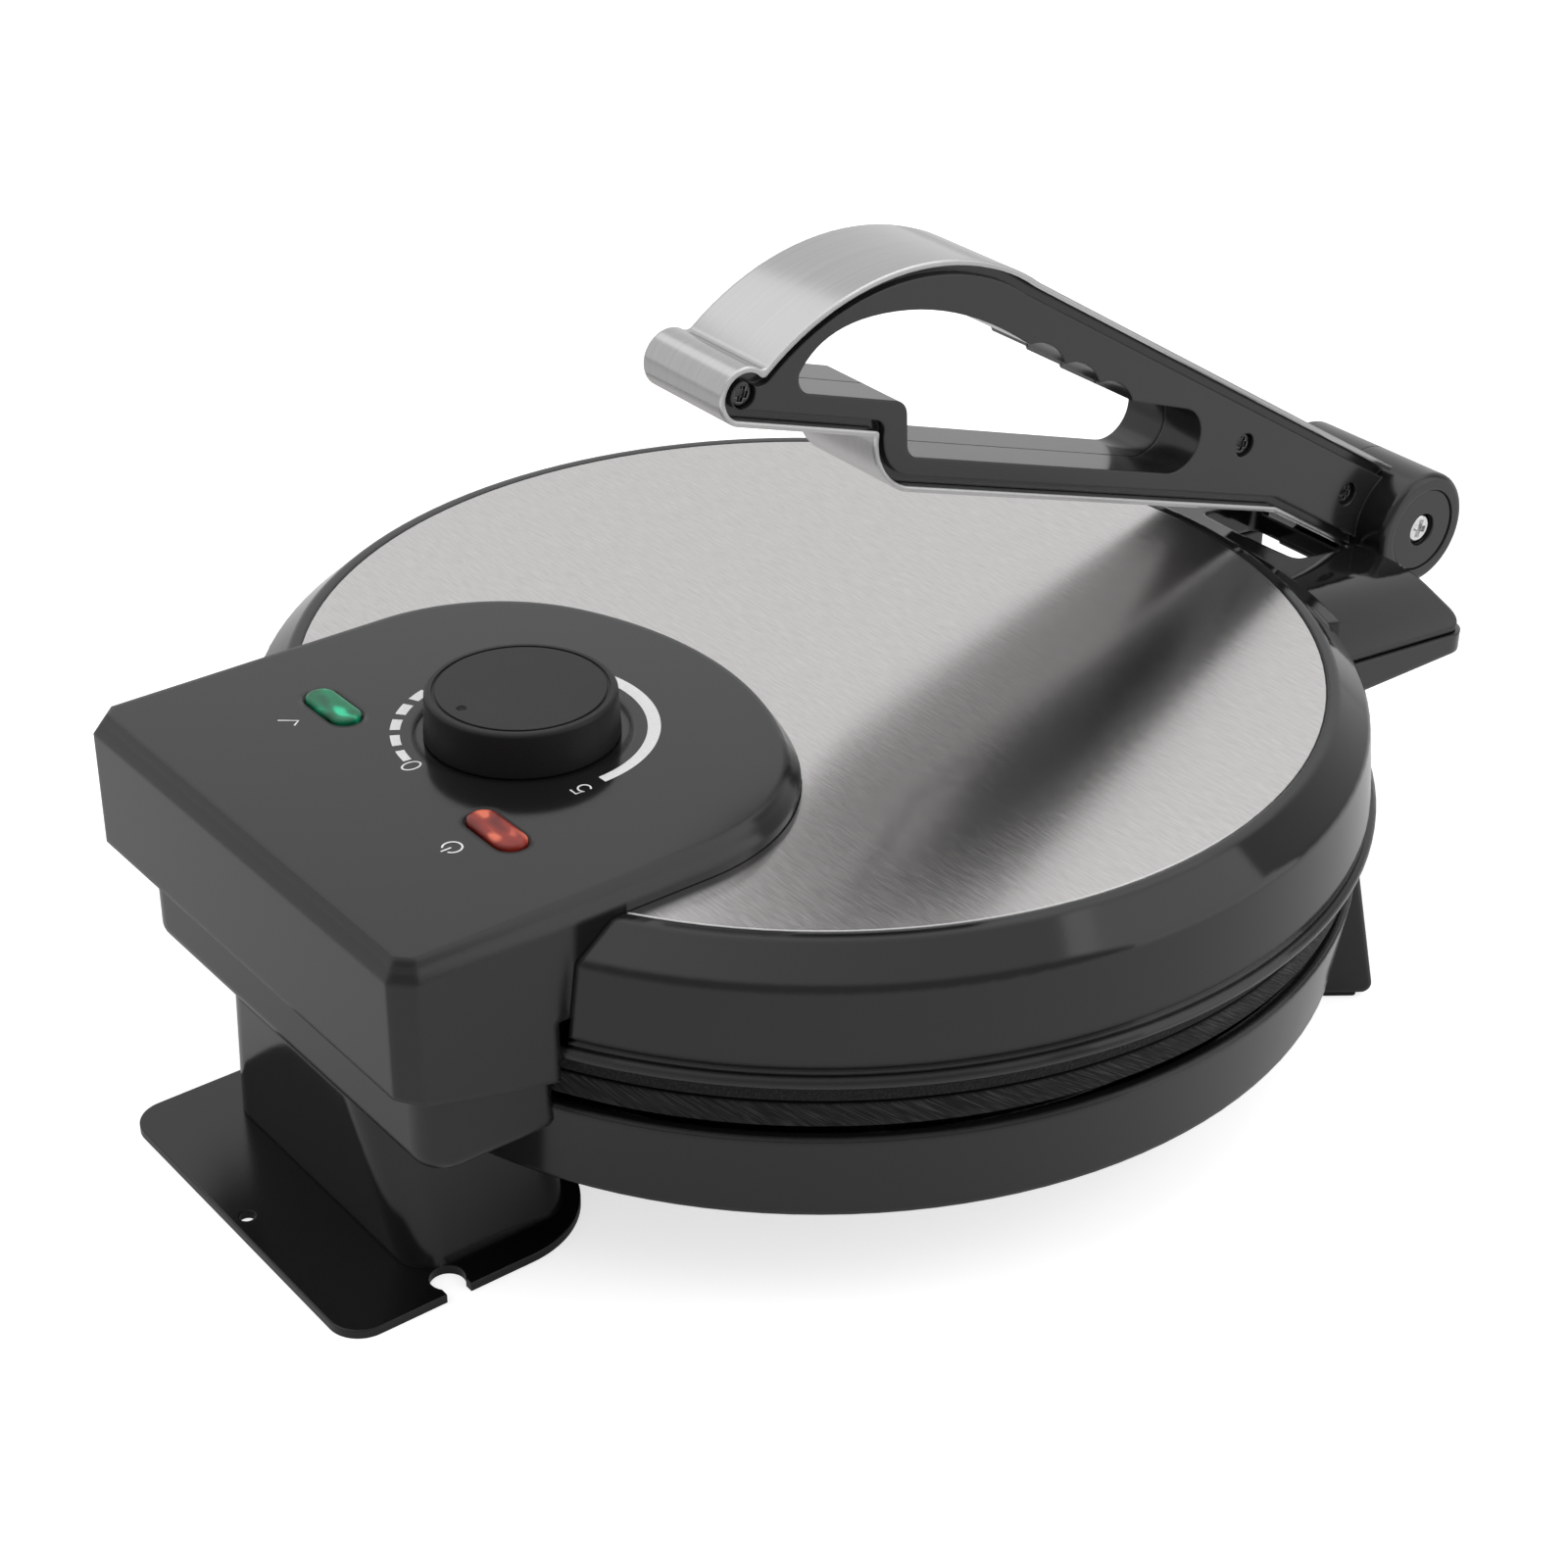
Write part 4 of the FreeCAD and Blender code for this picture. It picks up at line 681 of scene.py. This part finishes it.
def scale_group():
    """Part of a ring, from one bearing to another, that widens along the way and is broken into dashes."""
    group, start, end = geo_group("scale", {"Radius": 0.03, "From": 0.0, "To": 1.0, "Narrow": 0.002,
                                            "Wide": 0.004, "Dashes": 10, "Share": 0.6})

    def between(low, high):
        node = add(group, "ShaderNodeMapRange", [("Value", along), ("To Min", start.outputs[low]),
                                                 ("To Max", start.outputs[high])])
        return node.outputs[0]

    faces = value(group, "MULTIPLY", start.outputs["Dashes"], faces_per_dash)
    strip = add(group, "GeometryNodeMeshGrid", [("Size X", 1.0), ("Size Y", 1.0),
                ("Vertices X", value(group, "ADD", faces, 1.0)), ("Vertices Y", 2)])
    position = add(group, "GeometryNodeInputPosition")
    place = add(group, "ShaderNodeSeparateXYZ", [("Vector", position.outputs[0])])
    along = value(group, "ADD", place.outputs["X"], 0.5)
    phase = value(group, "FRACT", value(group, "MULTIPLY", along, start.outputs["Dashes"]))
    gaps = value(group, "GREATER_THAN", phase, start.outputs["Share"])
    dashes = add(group, "GeometryNodeDeleteGeometry", [("Geometry", strip.outputs["Mesh"]),
                                                       ("Selection", gaps)], domain="FACE")
    offset = value(group, "MULTIPLY", place.outputs["Y"], between("Narrow", "Wide"))
    radius = value(group, "ADD", start.outputs["Radius"], offset)
    bearing = between("From", "To")
    east = value(group, "MULTIPLY", radius, value(group, "SINE", bearing))
    north = value(group, "MULTIPLY", radius, value(group, "COSINE", bearing))
    spot = add(group, "ShaderNodeCombineXYZ", [("X", east), ("Y", north)])
    bent = add(group, "GeometryNodeSetPosition", [("Geometry", dashes.outputs[0]),
                                                  ("Position", spot.outputs[0])])
    return close_group(group, start, end, bent.outputs[0])


scale = scale_group()
print("made", scale.name)

# %% [markdown]
# ## Laying the print on the console
# A geometry group works on an object, so each mark starts as a sketch: an object that holds the drawing
# and the modifier. The finished print is then kept as a plain mesh, which exports cleanly. It is lifted a
# twentieth of a millimetre so that it never flickers against the console, and it rides on the lid.

# %% Print a mark
print_gap = 0.00005
print_height = console_high.z + print_gap


def line_edges(lines):
    """Pairs of neighbours in a list of lines whose points are numbered one after another."""
    edges = []
    first = 0
    for line in lines:
        edges += [(first + i, first + i + 1) for i in range(len(line) - 1)]
        first += len(line)
    return edges


def printed(name, group, settings, place, lines=()):
    """Run a group over a line drawing, keep the plain mesh, lay it on the console and let it ride the lid."""
    drawing = bpy.data.meshes.new(name + "_drawing")
    drawing.from_pydata([(x, y, 0) for line in lines for x, y in line], line_edges(lines), [])
    sketch = bpy.data.objects.new(name + "_sketch", drawing)
    bpy.context.collection.objects.link(sketch)
    modifier = sketch.modifiers.new("print", "NODES")
    modifier.node_group = group
    keys = {item.name: item.identifier for item in group.interface.items_tree if item.in_out == "INPUT"}
    for key, setting in {**settings, "Material": ink}.items():
        modifier[keys[key]] = setting
    shown = sketch.evaluated_get(bpy.context.evaluated_depsgraph_get())
    mesh = bpy.data.meshes.new_from_object(shown)
    bpy.data.objects.remove(sketch)
    mesh.transform(Matrix.Translation((*place, print_height)))
    if sum(face.normal.z for face in mesh.polygons) < 0:
        mesh.flip_normals()
    made = bpy.data.objects.new(name, mesh)
    bpy.context.collection.objects.link(made)
    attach(made, "lid")
    return made


print("prints lie at", round(print_height, 5), "m")

# %% [markdown]
# ## Drawing the marks
# The scale goes round the knob's middle, and its two figures, 0 and 5, stand at its ends. Behind the
# lamps stand a tick and a power sign. They could be traced from a drawing file, but each is only a few
# points or part of an ellipse, so they are written here in millimetres, the way a print of this size is
# drawn.

# %% Drawing helpers
mm = 0.001
dial_y = (knob_low.y + knob_high.y) / 2
lamp_x = (lamp_low.x + lamp_high.x) / 2
sign_y = lamp_high.y + 6.85 * mm
stroke = {"Width": 0.5 * mm}


def bow(x, y, radius_x, radius_y, start, stop, steps=40):
    """Points on part of an ellipse, from millimetres and degrees."""
    turns = [math.radians(start + (stop - start) * i / steps) for i in range(steps + 1)]
    return [((x + radius_x * math.cos(t)) * mm, (y + radius_y * math.sin(t)) * mm) for t in turns]


def pen(*points):
    """Straight strokes from point to point, from millimetres."""
    return [(x * mm, y * mm) for x, y in points]


def ring_part(name, radius, start, stop, narrow, wide, dashes, share):
    """Part of the scale, from millimetres and degrees."""
    settings = {"Radius": radius * mm, "From": math.radians(start), "To": math.radians(stop),
                "Narrow": narrow * mm, "Wide": wide * mm, "Dashes": dashes, "Share": share}
    return printed(name, scale, settings, (0, dial_y))


print("dial at y", round(dial_y, 5), "and lamps at x", round(lamp_x, 5))

# %% The marks
zero = [bow(0, 0, 1.7, 2.5, 0, 360)]
five = [pen((1.4, 2.4), (-1.1, 2.4), (-1.3, 0.1)) + bow(-0.1, -0.8, 1.6, 1.6, 140, -140)]
tick = [pen((-2.4, 0.2), (-0.8, -1.9), (2.4, 2.2))]
power = [bow(0, 0, 2.4, 2.4, 120, 420), pen((0, 0.3), (0, 3.2))]
marks = [ring_part("dial_dashes", 32.0, 6, 164, 2.2, 4.2, 11, 0.66),
         ring_part("dial_arc", 33.2, 166, 268, 3.8, 2.8, 8, 1.0),
         printed("dial_zero", ribbon, stroke, (0.5 * mm, dial_y + 32.5 * mm), zero),
         printed("dial_five", ribbon, stroke, (-34.0 * mm, dial_y + 5.5 * mm), five),
         printed("lamp_tick", ribbon, stroke, (lamp_x, sign_y), tick),
         printed("lamp_power", ribbon, stroke, (-lamp_x, sign_y), power)]
print("printed marks:", [(mark.name, len(mark.data.polygons)) for mark in marks])
